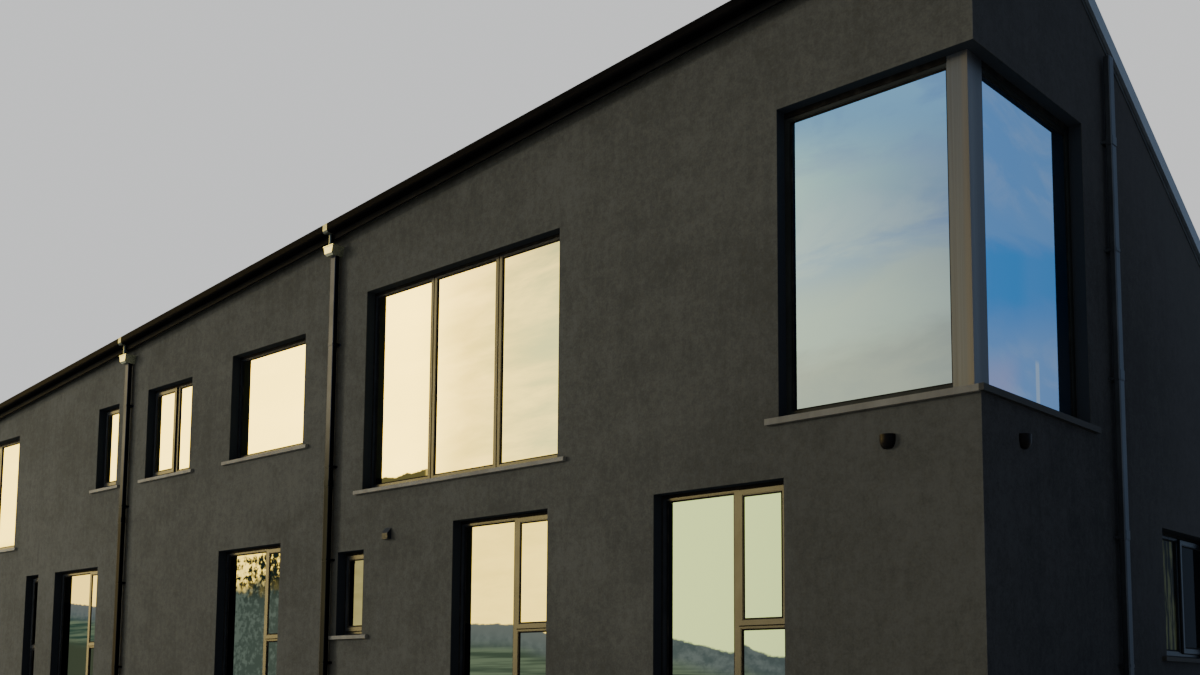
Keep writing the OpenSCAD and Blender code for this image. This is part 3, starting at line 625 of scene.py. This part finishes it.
def front_glass():
    """Painted reflections: sky and bushes upstairs, and below also hills, fields, a tree, an olive window and
    a near-black one of painted shade.
    """
    f, here = new_finish("front_glass")
    x, _, z = f.parts(here)
    downstairs = f.fall(z, *BETWEEN_STOREYS)
    cloud = cloud_cover(f, here)
    trees = f.noise(f.stretch(here, (5.0, 5.0, 7.0)), 1.6, 5.0, 0.65)
    depth = skyline(f, x) + (trees - 0.5) * 0.07 - z
    olive = f.blend(cloud, (0.0446, 0.0533, 0.0601), (0.0728, 0.0884, 0.103))
    mounds = 3.13 + f.noise(f.stretch(here, (2.2, 2.2, 0)), 1.7, 3.0) * 0.17
    bushes = f.fall(z - mounds, -0.01, 0.01) * f.step(z, 3.0, 3.05) * f.span(x, (3.0, 3.3), (4.5, 4.7))
    return glass(f, f.layers(
        mirrored_sky(f, here, cloud, downstairs),
        (f.step(depth, -0.012, 0.012) * downstairs, hills_and_fields(f, here, trees, depth)),
        (f.span(x, *TREE_WINDOW) * downstairs, tree(f, here)),
        (f.span(x, *SMALL_WINDOW) * downstairs, olive),
        # Painted shade: the far left window is nearly black
        (f.fall(x, *NARROW_PIER) * downstairs, (0.0015, 0.0023, 0.0045)),
        (bushes, (0.0190, 0.0225, 0.0215))))


glass_front = front_glass()
print("front panes made")

# %% [markdown]
# ## The corner, back and gable panes
#
# The two panes of the corner window look different ways. The front one mirrors blue-grey sky
# that pales upwards, and the gable one a bright haze over strong blue over lilac, with one thin
# streak of light. Each is a stack of colours whose soft edges drift with a cloud noise. The back
# panes mirror pale blue. All these tints are painted reflections. The gable window is in deep
# shade, so its panes are painted shade, nearly black, with faint green streaks of painted reflection.

# %% Make the corner, back and gable panes
STREAK_Y = -2.585
STREAK_TOP = (3.54, 3.6)
CORNER_POST = (11.52, 11.56)
GABLE_MULLION = (0.70, 0.80)


def corner_front(f, z, drift, cloud):
    """Bands of blue-grey by height, a glow low down, and paler cloud over them."""
    low_sky = f.blend(f.step(z, 3.6, 4.6), (0.077, 0.124, 0.286), (0.08, 0.162, 0.516))
    pale = f.blend(f.step(z, 3.6, 5.6), (0.0978, 0.151, 0.314), (0.215, 0.38, 0.78))
    glow = f.step(z + (drift - 0.5) * 0.7, 3.5, 3.9) * f.fall(z, 4.1, 4.6)
    return f.layers(low_sky, (f.step(z, 4.6, 5.95), (0.36, 0.70, 1.0)), (cloud * 0.5, pale),
                    (glow * 0.8, (0.102, 0.178, 0.40)))


def corner_side(f, y, z, drift, cloud):
    """Haze over blue over pale lilac, by a height that rises along the gable, with one thin streak."""
    height = z - (y + 3.6) * 0.24 + (drift - 0.5) * 0.5
    streak = f.fall(abs(y - STREAK_Y), 0.025, 0.05) * f.fall(z, *STREAK_TOP)
    return f.layers(
        f.blend(f.step(height, 4.3, 4.5), (0.18, 0.55, 0.97), (0.37, 0.66, 0.97)),
        (f.step(height, 4.4, 4.9) * cloud * 0.6, (0.66, 0.80, 0.97)),
        (f.step(y, -3.0, -2.65) * 0.1, (0.60, 0.80, 0.97)),
        (f.fall(height, 3.3, 3.95) * (0.55 + cloud * 0.4), (0.70, 0.80, 0.95)),
        (f.fall(height, 3.2, 3.5) * f.fall(y, -3.3, -2.8) * 0.7, (0.92, 0.74, 0.90)),
        (streak * 0.85, (1.0, 1.0, 0.95)))


def corner_glass():
    """One pattern for the front pane and one for the gable pane, parted between the two."""
    f, here = new_finish("corner_glass")
    x, y, z = f.parts(here)
    drift = f.noise(f.stretch(here, (0.8, 0.8, 2.2), (0.0, -0.3, 0.0)), 1.0, 5.0, 0.55, 0.5)
    cloud = f.step(drift, 0.4, 0.62)
    front, side = corner_front(f, z, drift, cloud), corner_side(f, y, z, drift, cloud)
    return glass(f, f.blend(f.step(x, *CORNER_POST), front, side))


def cool_glass():
    """Pale blue with cloud, for the back."""
    f, here = new_finish("cool_glass")
    return glass(f, f.blend(cloud_cover(f, here), (0.20, 0.34, 0.50), (0.50, 0.60, 0.68)))


def shaded_glass():
    """Painted shade, nearly black, with upright green streaks of painted reflection, and plain black in the
    far light.
    """
    f, here = new_finish("shaded_glass")
    streaks = f.noise(f.stretch(here, (1.0, 9.0, 1.1)), 1.6, 4.0, 0.6)
    tint = f.blend(f.step(streaks, 0.46, 0.62), (0.016, 0.018, 0.014), (0.17, 0.19, 0.085))
    tint = f.blend(f.step(f.parts(here)[1], *GABLE_MULLION), tint, (0.006, 0.007, 0.009))
    return f.surface(Base_Color=tint, Roughness=0.05, Specular_IOR_Level=0.01,
                     Normal=f.bump(streaks, 0.1, 0.001))


glass_corner, glass_cool, glass_shaded = corner_glass(), cool_glass(), shaded_glass()
print("corner, back and gable panes made")

# %% [markdown]
# ## Floors
#
# The floors hardly show behind the glass. The ground floor is a power-floated concrete slab, and
# the first floor is boarded. Boards are a brick pattern, with each given its own tone.


# %% Make the floors
def concrete_finish():
    """Concrete: one cloud noise in the colour, the gloss and the bump."""
    f, here = new_finish("floor_concrete")
    cloud = f.noise(here, 1.2, 6.0, 0.6)
    colour = f.blend(f.step(cloud, 0.3, 0.7), (0.22, 0.215, 0.2), (0.34, 0.33, 0.31))
    return f.surface(Base_Color=colour, Roughness=0.55 + (cloud - 0.5) * 0.2, Normal=f.bump(cloud, 0.2, 0.01))


def board_finish():
    """Boards 140 mm wide: bricks in two tones with thin dark joints, and grain drawn out along x."""
    f, here = new_finish("floor_boards")
    sockets = {"Vector": here, "Color1": (0.30, 0.2, 0.12), "Color2": (0.42, 0.3, 0.19),
               "Mortar": (0.05, 0.035, 0.02), "Scale": 1.0, "Mortar Size": 0.003,
               "Brick Width": 2.4, "Row Height": 0.14}
    boards = f.add("ShaderNodeTexBrick", {"offset": 0.37}, sockets)
    grain = f.noise(f.stretch(here, (3.0, 60.0, 60.0)), 1.0, 4.0)
    colour = f.blend(grain * 0.3, boards, (0.2, 0.13, 0.08))
    return f.surface(Base_Color=colour, Roughness=0.5, Normal=f.bump(grain, 0.15, 0.004))


floor_concrete, floor_boards = concrete_finish(), board_finish()
print("floors made")

# %% [markdown]
# ## Dressing the parts
#
# A part whose shape is right keeps its mesh and only gets its finish. The list below is the
# paint schedule of the house: each finish with the parts that it goes on.

# %% Put the finishes on the parts
FRAMES = ("picture_window_frames", "small_upper_frames", "ground_window_frames", "gable_window_frame",
          "back_window_frames")
SCHEDULE = (
    (charcoal_render, tuple(part for part in NODES if part.startswith("front_wall"))),
    (charcoal_render, ("right_gable_wall", "left_party_wall", "back_wall")),
    (floor_concrete, ("ground_floor",)),
    (floor_boards, ("first_floor",)),
    (roof_sheet, ("roof_front_slope", "roof_back_slope", "ridge_capping")),
    (coats["verge"], ("right_verge", "left_verge")),
    (coats["fascia"], ("front_fascia", "back_fascia")),
    (coats["gutter"], ("front_gutter", "back_gutter")),
    (post_cladding, ("corner_post",)),
    (coats["frame"], FRAMES + ("opening_sashes",)),
    (coats["painted_shade_corner_frame"], ("corner_window_frames",)),
    (glass_front, ("picture_window_glass", "small_upper_glass", "ground_window_glass")),
    (glass_corner, ("corner_window_glass",)),
    (glass_cool, ("back_window_glass",)),
    (glass_shaded, ("gable_window_glass",)),
    (cast_sill, ("corner_window_sill", "front_window_sills", "gable_window_sill", "back_window_sills")),
    (coats["hopper"], ("hopper_heads",)),
    (coats["outlet"], ("gutter_outlets",)),
    (coats["pipe"], ("middle_downpipe", "left_downpipe", "end_downpipe", "back_downpipe")),
    (coats["gable_pipe"], ("gable_downpipe",)),
    (coats["fitting"], ("wall_lights",)),
    (coats["vent"], ("wall_vent",)),
)
dressed = set()
for finish, parts in SCHEDULE:
    for part in parts:
        slots = NODES[part].data.materials
        slots.clear()
        slots.append(finish)
        dressed.add(part)
print("dressed", len(dressed), "parts, left", sorted(set(NODES) - dressed))

# %% [markdown]
# ## Bars and rings
#
# Most of what a fitter adds to a house is long and thin with the same section all the way. Two
# functions make all of it. One draws a section along straight lines, and the other leads it round
# a rectangle with mitred corners. Both work on whole arrays, so a hundred seams cost one call.

# %% Bars
SKYWARD = np.array([0.0, 0.0, 1.0])


def bars(starts, ends, across, up, section):
    """Straight bars. A point is its end plus the section's first value along across and second along up.

    The section is a closed outline, listed anticlockwise as seen against the direction across x up.
    """
    starts, ends = np.atleast_2d(starts).astype(float), np.atleast_2d(ends).astype(float)
    across = np.broadcast_to(np.asarray(across, float), starts.shape)
    up = np.broadcast_to(np.asarray(up, float), starts.shape)
    wrong = np.einsum("ij,ij->i", np.cross(across, up), ends - starts) < 0
    starts, ends = np.where(wrong[:, None], ends, starts), np.where(wrong[:, None], starts, ends)
    section = np.asarray(section, float)
    spread = section[None, :, :1] * across[:, None] + section[None, :, 1:] * up[:, None]
    points = np.stack([starts[:, None] + spread, ends[:, None] + spread], axis=1)
    sides = len(section)
    here = np.arange(sides)
    after = np.roll(here, -1)
    walls = np.stack([here, after, after + sides, here + sides], axis=1)
    faces = []
    for base in np.arange(len(starts)) * 2 * sides:
        faces += (walls + base).tolist()
        faces.append((here[::-1] + base).tolist())
        faces.append((here + sides + base).tolist())
    return points.reshape(-1, 3), faces


square = ((0, 0), (1, 0), (1, 1), (0, 1))
print("a square bar has", len(bars((0, 0, 0), (5, 0, 0), (0, 1, 0), SKYWARD, square)[1]), "faces")


# %% Rings
def rings(lows, highs, out, section):
    """A section led round rectangles. Its first value goes inwards from the edge, its second outwards.

    Each rectangle is the face of a box that looks along out, a level axis direction. The faces are
    a grid of four corners by the sides of the section, closed both ways.
    """
    lows, highs, out = np.atleast_2d(lows), np.atleast_2d(highs), np.asarray(out, float)
    side = np.eye(3)[1 if abs(out[0]) > 0.5 else 0]
    face = np.where(out > 0, highs, lows) * abs(out)
    section = np.asarray(section, float)
    corners = []
    for a, b in ((0, 0), (1, 0), (1, 1), (0, 1)):
        edge = face + (highs if a else lows) * side + (highs if b else lows) * SKYWARD
        inward = side * (1 - 2 * a) + SKYWARD * (1 - 2 * b)
        corners.append(edge[:, None] + section[None, :, :1] * inward + section[None, :, 1:] * out)
    points = np.stack(corners, axis=1)
    sides = len(section)
    i, k = np.arange(sides), np.arange(4)[:, None]
    j, after = (i + 1) % sides, (k + 1) % 4
    grid = np.stack([k * sides + i, k * sides + j, after * sides + j, after * sides + i], axis=-1)
    faces = (grid.reshape(-1, 4) + np.arange(len(lows))[:, None, None] * 4 * sides).reshape(-1, 4)
    if np.dot(np.cross(side, SKYWARD), out) < 0:
        faces = faces[:, ::-1]
    return points.reshape(-1, 3), faces.tolist()


print("a square ring has", len(rings((0, 0, 0), (9, 9, 9), (0, -1, 0), square)[1]), "faces")


# %% New pieces
def joined(parts):
    """Several (points, faces) pairs as one pair."""
    points, faces = [], []
    for some_points, some_faces in parts:
        start = sum(len(p) for p in points)
        points.append(some_points)
        faces += [[start + number for number in face] for face in some_faces]
    return np.concatenate(points), faces


def signed_volume(points, faces):
    """Six times the volume inside the faces, above zero where they look outwards."""
    fans = [(face[0], face[k], face[k + 1]) for face in faces for k in range(1, len(face) - 1)]
    a, b, c = (points[[fan[k] for fan in fans]] for k in range(3))
    return float(np.einsum("ij,ij->", a, np.cross(b, c)))


def new_piece(name, shape, finish):
    """A piece of the house from a (points, faces) pair, riding on the one body."""
    points, faces = shape
    if signed_volume(points - points.mean(axis=0), faces) < 0:
        faces = [face[::-1] for face in faces]
    mesh = bpy.data.meshes.new(name)
    mesh.from_pydata(points.tolist(), [], faces)
    mesh.materials.append(finish)
    mesh.validate()
    piece = bpy.data.objects.new(name, mesh)
    scene.collection.objects.link(piece)
    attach(piece, "root")
    print("%s: %d faces" % (name, len(faces)))


print("pieces can be made")

# %% [markdown]
# ## Standing seams
#
# Where two trays of the roof meet, their edges are folded together into a seam that stands 26 mm
# proud. The seams run straight down the slope, so with the ridge turned in plan they meet the
# eaves and the gables at a slant. Each seam is a ray from the ridge, cut off where it leaves the
# rectangle of the roof: it starts at the largest of the entries through the sides and ends at the
# smallest of the exits.

# %% Make the standing seams
TRAY_W = 0.43
# Trays are counted from the left end of the ridge, past both ends of it
TRAYS = np.arange(-12, 80)
SHORTEST_SEAM = 0.2
SEAM_SECTION = ((-0.003, -0.004), (0.003, -0.004), (0.003, 0.016), (0.010, 0.016), (0.010, 0.026),
                (-0.003, 0.026))
RIDGE_GAP = 0.162
VERGE_GAP = 0.075


def top_face(node):
    """Corners of the upward face of a slope, as an (n, 3) array, with its upward normal."""
    mesh = NODES[node].data
    top = [face for face in mesh.polygons if face.normal.z > 0.5]
    numbers = sorted({number for face in top for number in face.vertices})
    corners = np.array([mesh.vertices[number].co[:] for number in numbers])
    return np.unique(np.round(corners, 4), axis=0), np.array(top[0].normal[:])


def slope_edge(side, axis, sense):
    """The left and the right of the two corners of a slope that lie farthest along an axis."""
    corners, _ = top_face("roof_%s_slope" % side)
    farthest = corners[np.argsort(sense * corners[:, axis])[-2:]]
    return farthest[np.argsort(farthest[:, 0])]


def standing_seams(side):
    """Seams of one slope, square to the ridge, one tray apart."""
    corners, normal = top_face("roof_%s_slope" % side)
    left, right = slope_edge("front", 2, 1.0)
    along = (right - left) / np.linalg.norm(right - left)
    down = np.cross(normal, along)
    down *= -math.copysign(1.0, down[2])
    starts = left + (TRAYS * TRAY_W)[:, None] * along
    low, high = corners.min(axis=0)[:2], corners.max(axis=0)[:2]
    low[0] += VERGE_GAP
    high[0] -= VERGE_GAP
    first = (low - starts[:, :2]) / down[:2]
    second = (high - starts[:, :2]) / down[:2]
    near = np.maximum(np.minimum(first, second).max(axis=1), RIDGE_GAP)
    far = np.maximum(first, second).min(axis=1)
    kept = far - near > SHORTEST_SEAM
    return bars((starts + near[:, None] * down)[kept], (starts + far[:, None] * down)[kept],
                along, normal, SEAM_SECTION)


for side in ("front", "back"):
    new_piece("roof_seams_" + side, standing_seams(side), roof_sheet)

# %% [markdown]
# ## Drip strips and gutter trims
#
# At the eaves the sheet turns down over a folded drip strip, which throws the water clear of the
# fascia. The gutter's outer lip is rolled into a bead that stiffens it, and a flat strap every
# 900 mm ties the lip back. All follow the slant of the eaves, read off two corners of the slope.

# %% Make the drip strips, beads and straps
DRIP_SECTION = ((0.0, 0.0), (0.022, -0.004), (0.028, -0.034), (0.030, -0.034), (0.0245, -0.0015),
                (-0.05, 0.045), (-0.05, 0.0425))
BEAD_R = 0.0055
BEAD_SIDES = 12
BEAD_OUT = 0.002
BEAD_DOWN = 0.001
STRAP_GAP = 0.9
STRAP_W = 0.025
STRAP_T = 0.003
STRAP_REACH = 0.113
STRAP_IN = 0.004
STRAP_DOWN = 0.002
FIRST_STRAP = 0.35
LAST_STRAP = 0.2


def gutter_trims(side, out_y):
    """The bead, a circle drawn along the rim, and flat straps from the rim back to the fascia.

    The rim starts at the top corner of the gutter's box and falls with the eaves.
    """
    left, right = slope_edge(side, 1, out_y)
    slant = (right[2] - left[2]) / (right[0] - left[0])
    low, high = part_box("%s_gutter" % side)
    outer = low[1] if out_y < 0 else high[1]
    top_x = high[0] if slant > 0 else low[0]

    def point(x):
        return np.array([x, outer, high[2] + slant * (x - top_x)])

    turn = np.arange(BEAD_SIDES) * 2 * np.pi / BEAD_SIDES
    circle = np.stack([np.cos(turn), np.sin(turn)], axis=1) * BEAD_R + (BEAD_OUT - BEAD_R, -BEAD_DOWN)
    pieces = [bars(point(low[0]), point(high[0]), (0, out_y, 0), SKYWARD, circle)]
    half = STRAP_W / 2
    strip = ((-half, 0.0), (half, 0.0), (half, STRAP_T), (-half, STRAP_T))
    for x in np.arange(low[0] + FIRST_STRAP, high[0] - LAST_STRAP, STRAP_GAP):
        lip = point(x) - (0, STRAP_IN * out_y, STRAP_DOWN)
        pieces.append(bars(lip, lip - (0, STRAP_REACH * out_y, 0), (1.0, 0, slant), SKYWARD, strip))
    return joined(pieces)


for side, out_y in (("front", -1.0), ("back", 1.0)):
    drip = bars(*slope_edge(side, 1, out_y), (0, out_y, 0), SKYWARD, DRIP_SECTION)
    new_piece("eaves_drip_" + side, drip, roof_sheet)
    new_piece("gutter_trims_" + side, gutter_trims(side, out_y), coats["gutter"])

# %% [markdown]
# ## Gaskets and seals
#
# A sealed unit sits between rubber gaskets, which show as a black line round every pane. Each is
# a ring with a soft rounded nose that presses on the glass. Thinner seals close the joint round
# each sash and round each frame. Round the sashes the black seal is also painted shade, standing
# for the shadow in the joint. All are one section led round a box, so one function makes them.

# %% Make the gaskets and seals
GASKET_SECTION = ((0.0, 0.0), (0.0, 0.006), (0.005, 0.0075), (0.013, 0.006), (0.017, 0.002), (0.017, 0.0))
SASH_SEAL_SECTION = ((-0.009, -0.0225), (0.0005, -0.0225), (0.0005, -0.017), (-0.005, -0.0165),
                     (-0.009, -0.0195))
FRAME_SEAL_SECTION = ((-0.0005, -0.0005), (0.011, -0.0005), (0.010, 0.0015), (0.004, 0.005), (-0.0005, 0.009))


def rubber_finish():
    """Black rubber with a fine dull ripple and a little dust."""
    f, here = new_finish("gasket_rubber")
    dust = f.step(f.noise(here, 9.0, 4.0), 0.45, 0.75)
    colour = f.blend(dust, (0.006, 0.006, 0.006), (0.022, 0.021, 0.019))
    return f.surface(Base_Color=colour, Roughness=0.62 + dust * 0.2, Specular_IOR_Level=0.05,
                     Normal=f.bump(f.noise(here, 240.0), 0.3, 0.0004))


def facing_boxes(node):
    """Boxes of the flat upright solids of a part, with the direction in which their outer faces look."""
    for low, high in solids(node):
        middle = (low + high) / 2
        thin = int(np.argmin((high - low)[:2]))
        out = np.zeros(3)
        out[thin] = math.copysign(1.0, middle[thin])
        yield low, high, out


def rings_round(node, section):
    """One ring round the outer face of each solid of a part."""
    return joined([rings(low, high, out, section) for low, high, out in facing_boxes(node)])


rubber = rubber_finish()
for node in ("corner", "picture_window", "small_upper", "ground_window", "gable_window", "back_window"):
    glass_node = "corner_window_glass" if node == "corner" else node + "_glass"
    new_piece(node + "_gaskets", rings_round(glass_node, GASKET_SECTION), rubber)
# Round each sash the black seal is also painted shade for the shadow in the joint
new_piece("sash_seals", rings_round("opening_sashes", SASH_SEAL_SECTION), rubber)
for node in FRAMES:
    new_piece(node + "_seals", rings_round(node, FRAME_SEAL_SECTION), rubber)

# %% [markdown]
# ## Head strips
#
# Between the head of a frame and the render above it runs a black closing strip that covers the
# gap left for fitting. It is also painted shade: its black stands for the shadow of the soffit, and
# makes the head look thinner than the sides. The corner window has a deeper one. A bar along the top
# edge of the frame's box is enough.

# %% Make the head strips
STRIP_T = 0.007
STRIP_H = 0.034
CORNER_STRIP_H = 0.057
STRIP_NOSE_H = 0.004
STRIP_NOSE_T = 0.003
SUNK = 0.0005


def head_shade_strips(node, height):
    """A flat bar along the top of the outer face of each solid of a part, its lower nose cut back. It is
    partly painted shade, for the soffit's shadow.
    """
    section = ((-SUNK, 0.0), (STRIP_T, 0.0), (STRIP_T, STRIP_NOSE_H - height),
               (STRIP_T - STRIP_NOSE_T, -height), (-SUNK, -height))
    strips = []
    for low, high, out in facing_boxes(node):
        along = 1.0 - abs(out) - SKYWARD
        top = np.where(out > 0, high, low) * abs(out) + (high[2] - SUNK) * SKYWARD
        start, end = top + (low + SUNK) * along, top + (high - SUNK) * along
        strips.append(bars(start, end, out, SKYWARD, section))
    return joined(strips)


for node in FRAMES:
    new_piece(node + "_head", head_shade_strips(node, STRIP_H), rubber)
new_piece("corner_window_head", head_shade_strips("corner_window_frames", CORNER_STRIP_H), rubber)

# %% [markdown]
# ## Blades and lenses
#
# The small hooded vent on the front has three slanted blades across its face, which keep the rain
# out. The two wall lights are half bowls that shine upwards, and each holds a frosted half disc
# just below its rim. Both are bars again. The section of a lens is half a circle, worked out by
# the angle round its middle.

# %% Make the vent blades and the lenses
BLADES = 3
BLADE_GAP = 0.018
BLADE_INSET = 0.008
BLADE_SUNK = 0.002
BLADE_SECTION = ((0.0, 0.0), (0.006, -0.005), (0.006, -0.0065), (0.0, -0.0015))
LENS_DOWN = 0.022
LENS_T = 0.004
LENS_GAP = 0.0045
LENS_STEPS = 24


def vent_blades():
    """Slanted blades across the face of the vent, one gap apart, up from its lower edge."""
    low, high = np.array(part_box("wall_vent"))
    heights = BLADE_GAP * np.arange(1, BLADES + 1)[:, None] * SKYWARD
    starts = low + (BLADE_INSET, 0, 0) + heights
    ends = starts + (high[0] - low[0] - 2 * BLADE_INSET, 0, 0)
    return bars(starts, ends, (0, -1, 0), SKYWARD, np.array(BLADE_SECTION) - (BLADE_SUNK, 0.0))


def half_disc(low, high, out):
    """A short upright bar whose section is half a circle, its straight edge against the wall."""
    along = 1.0 - abs(out) - SKYWARD
    radius = (high - low) @ abs(out) - LENS_GAP
    middle = np.where(out > 0, low, high) * abs(out) + (low + high) / 2 * along
    turn = np.pi * np.arange(LENS_STEPS + 1) / LENS_STEPS
    half_circle = radius * np.stack([np.cos(turn), np.sin(turn)], axis=1)
    top = middle + (high[2] - LENS_DOWN) * SKYWARD
    return bars(top, top - LENS_T * SKYWARD, along, out, half_circle)


def frosted_glass():
    """Frosted white glass, unlit: a faint cloud in the colour and a fine rough bump."""
    f, here = new_finish("frosted_glass")
    cloud = f.noise(here, 40.0, 3.0)
    colour = f.blend(cloud, (0.50, 0.50, 0.47), (0.66, 0.66, 0.63))
    return f.surface(Base_Color=colour, Roughness=0.4 + cloud * 0.15,
                     Normal=f.bump(f.noise(here, 900.0), 0.3, 0.0003))


lenses = joined([half_disc(*box) for box in facing_boxes("wall_lights")])
new_piece("vent_blades", vent_blades(), coats["vent"])
new_piece("light_lenses", lenses, frosted_glass())

# %% [markdown]
# ## Studio floor
#
# The house stands on a plain pale floor that reaches far past the view. It is stage, not a part of
# the house. A trace of noise in its colour keeps it from looking flat.

# %% Make the studio floor
FLOOR_REACH = 160.0


def floor_finish():
    """Pale matt floor with a faint slow cloud."""
    f, here = new_finish("studio_floor")
    tone = f.noise(here, 0.6, 3.0)
    colour = f.blend(f.step(tone, 0.3, 0.7), (0.74, 0.74, 0.73), (0.78, 0.78, 0.77))
    return f.surface(Base_Color=colour, Roughness=0.75)


floor_mesh = bpy.data.meshes.new("studio_floor")
corners = [(FLOOR_REACH * a, FLOOR_REACH * b, 0) for a, b in ((-1, -1), (1, -1), (1, 1), (-1, 1))]
floor_mesh.from_pydata(corners, [], [(0, 1, 2, 3)])
floor_mesh.materials.append(floor_finish())
floor = bpy.data.objects.new("studio_floor", floor_mesh)
scene.collection.objects.link(floor)
print("floor laid")

# %% [markdown]
# ## Studio light
#
# The world is the softbox: bright and a little warm from the front and left, dimmer and cooler
# from the right. The camera itself sees a plain pale backdrop. A sun with a wide disc, low on the
# left, gives the pipes and hoppers their faint shadows. A large soft lamp in front of the left
# half lifts the far end of the front. It would leave a bright pool on the floor, so the floor is
# taken off the list of what it lights.

# %% Make the light
WARM_SIDE = (-0.68, -0.72, 0.12)
SOFTBOX = (-0.82, -0.54, 0.17)


def studio_world():
    """Brightness by direction. Soft light comes from the front and left, less from elsewhere.

    Gloss sees one large warm softbox low on the left.
    """
    w = Finish(bpy.data.worlds.new("studio"))
    towards = w.add("ShaderNodeTexCoord", out="Generated")
    height = w.parts(towards)[2]

    def nearness(direction):
        sockets = {0: towards, 1: direction}
        return w.add("ShaderNodeVectorMath", {"operation": "DOT_PRODUCT"}, sockets, out="Value")

    share = w.step(nearness(WARM_SIDE), -0.6, 0.8)
    light = w.blend(share, (0.10, 0.13, 0.17), (0.62, 0.60, 0.56))
    box = w.step(nearness(SOFTBOX), 0.78, 0.96) * w.fall(height, 0.28, 0.42)
    gloss = w.blend(box, w.blend(share, (0.30, 0.42, 0.62), (0.50, 0.56, 0.60)), (7.0, 5.0, 1.6))
    ray = w.add("ShaderNodeLightPath").socket.node
    glossy, seen = Wire(w, ray.outputs["Is Glossy Ray"]), Wire(w, ray.outputs["Is Camera Ray"])
    plain = w.blend(seen, w.blend(glossy, light, gloss), (0.80, 0.81, 0.82))
    glow = w.add("ShaderNodeBackground", sockets={"Color": plain, "Strength": 1.0})
    w.add("ShaderNodeOutputWorld", sockets={"Surface": glow})
    return w.block


def lamp(name, kind, energy, colour, towards):
    """A lamp that shines towards a direction and shows in no gloss."""
    light = bpy.data.lights.new(name, kind)
    light.energy = energy
    light.color = colour
    placed = bpy.data.objects.new(name, light)
    placed.rotation_euler = Vector(towards).to_track_quat("-Z", "Y").to_euler()
    placed.visible_glossy = False
    scene.collection.objects.link(placed)
    return placed


scene.world = studio_world()
key = lamp("key", "SUN", 1.7, (1.0, 0.93, 0.8), (0.78, 0.59, -0.21))
key.data.angle = math.radians(11)
fill = lamp("fill", "AREA", 900.0, (1.0, 0.96, 0.82), (0.35, 1.0, -0.12))
fill.data.shape = "RECTANGLE"
fill.data.size = 9.0
fill.data.size_y = 6.0
fill.location = (-9.0, -15.0, 4.5)
skipped = bpy.data.collections.new("fill_skips")
skipped.objects.link(floor)
skipped.collection_objects[0].light_linking.link_state = "EXCLUDE"
fill.light_linking.receiver_collection = skipped
print("studio lit")
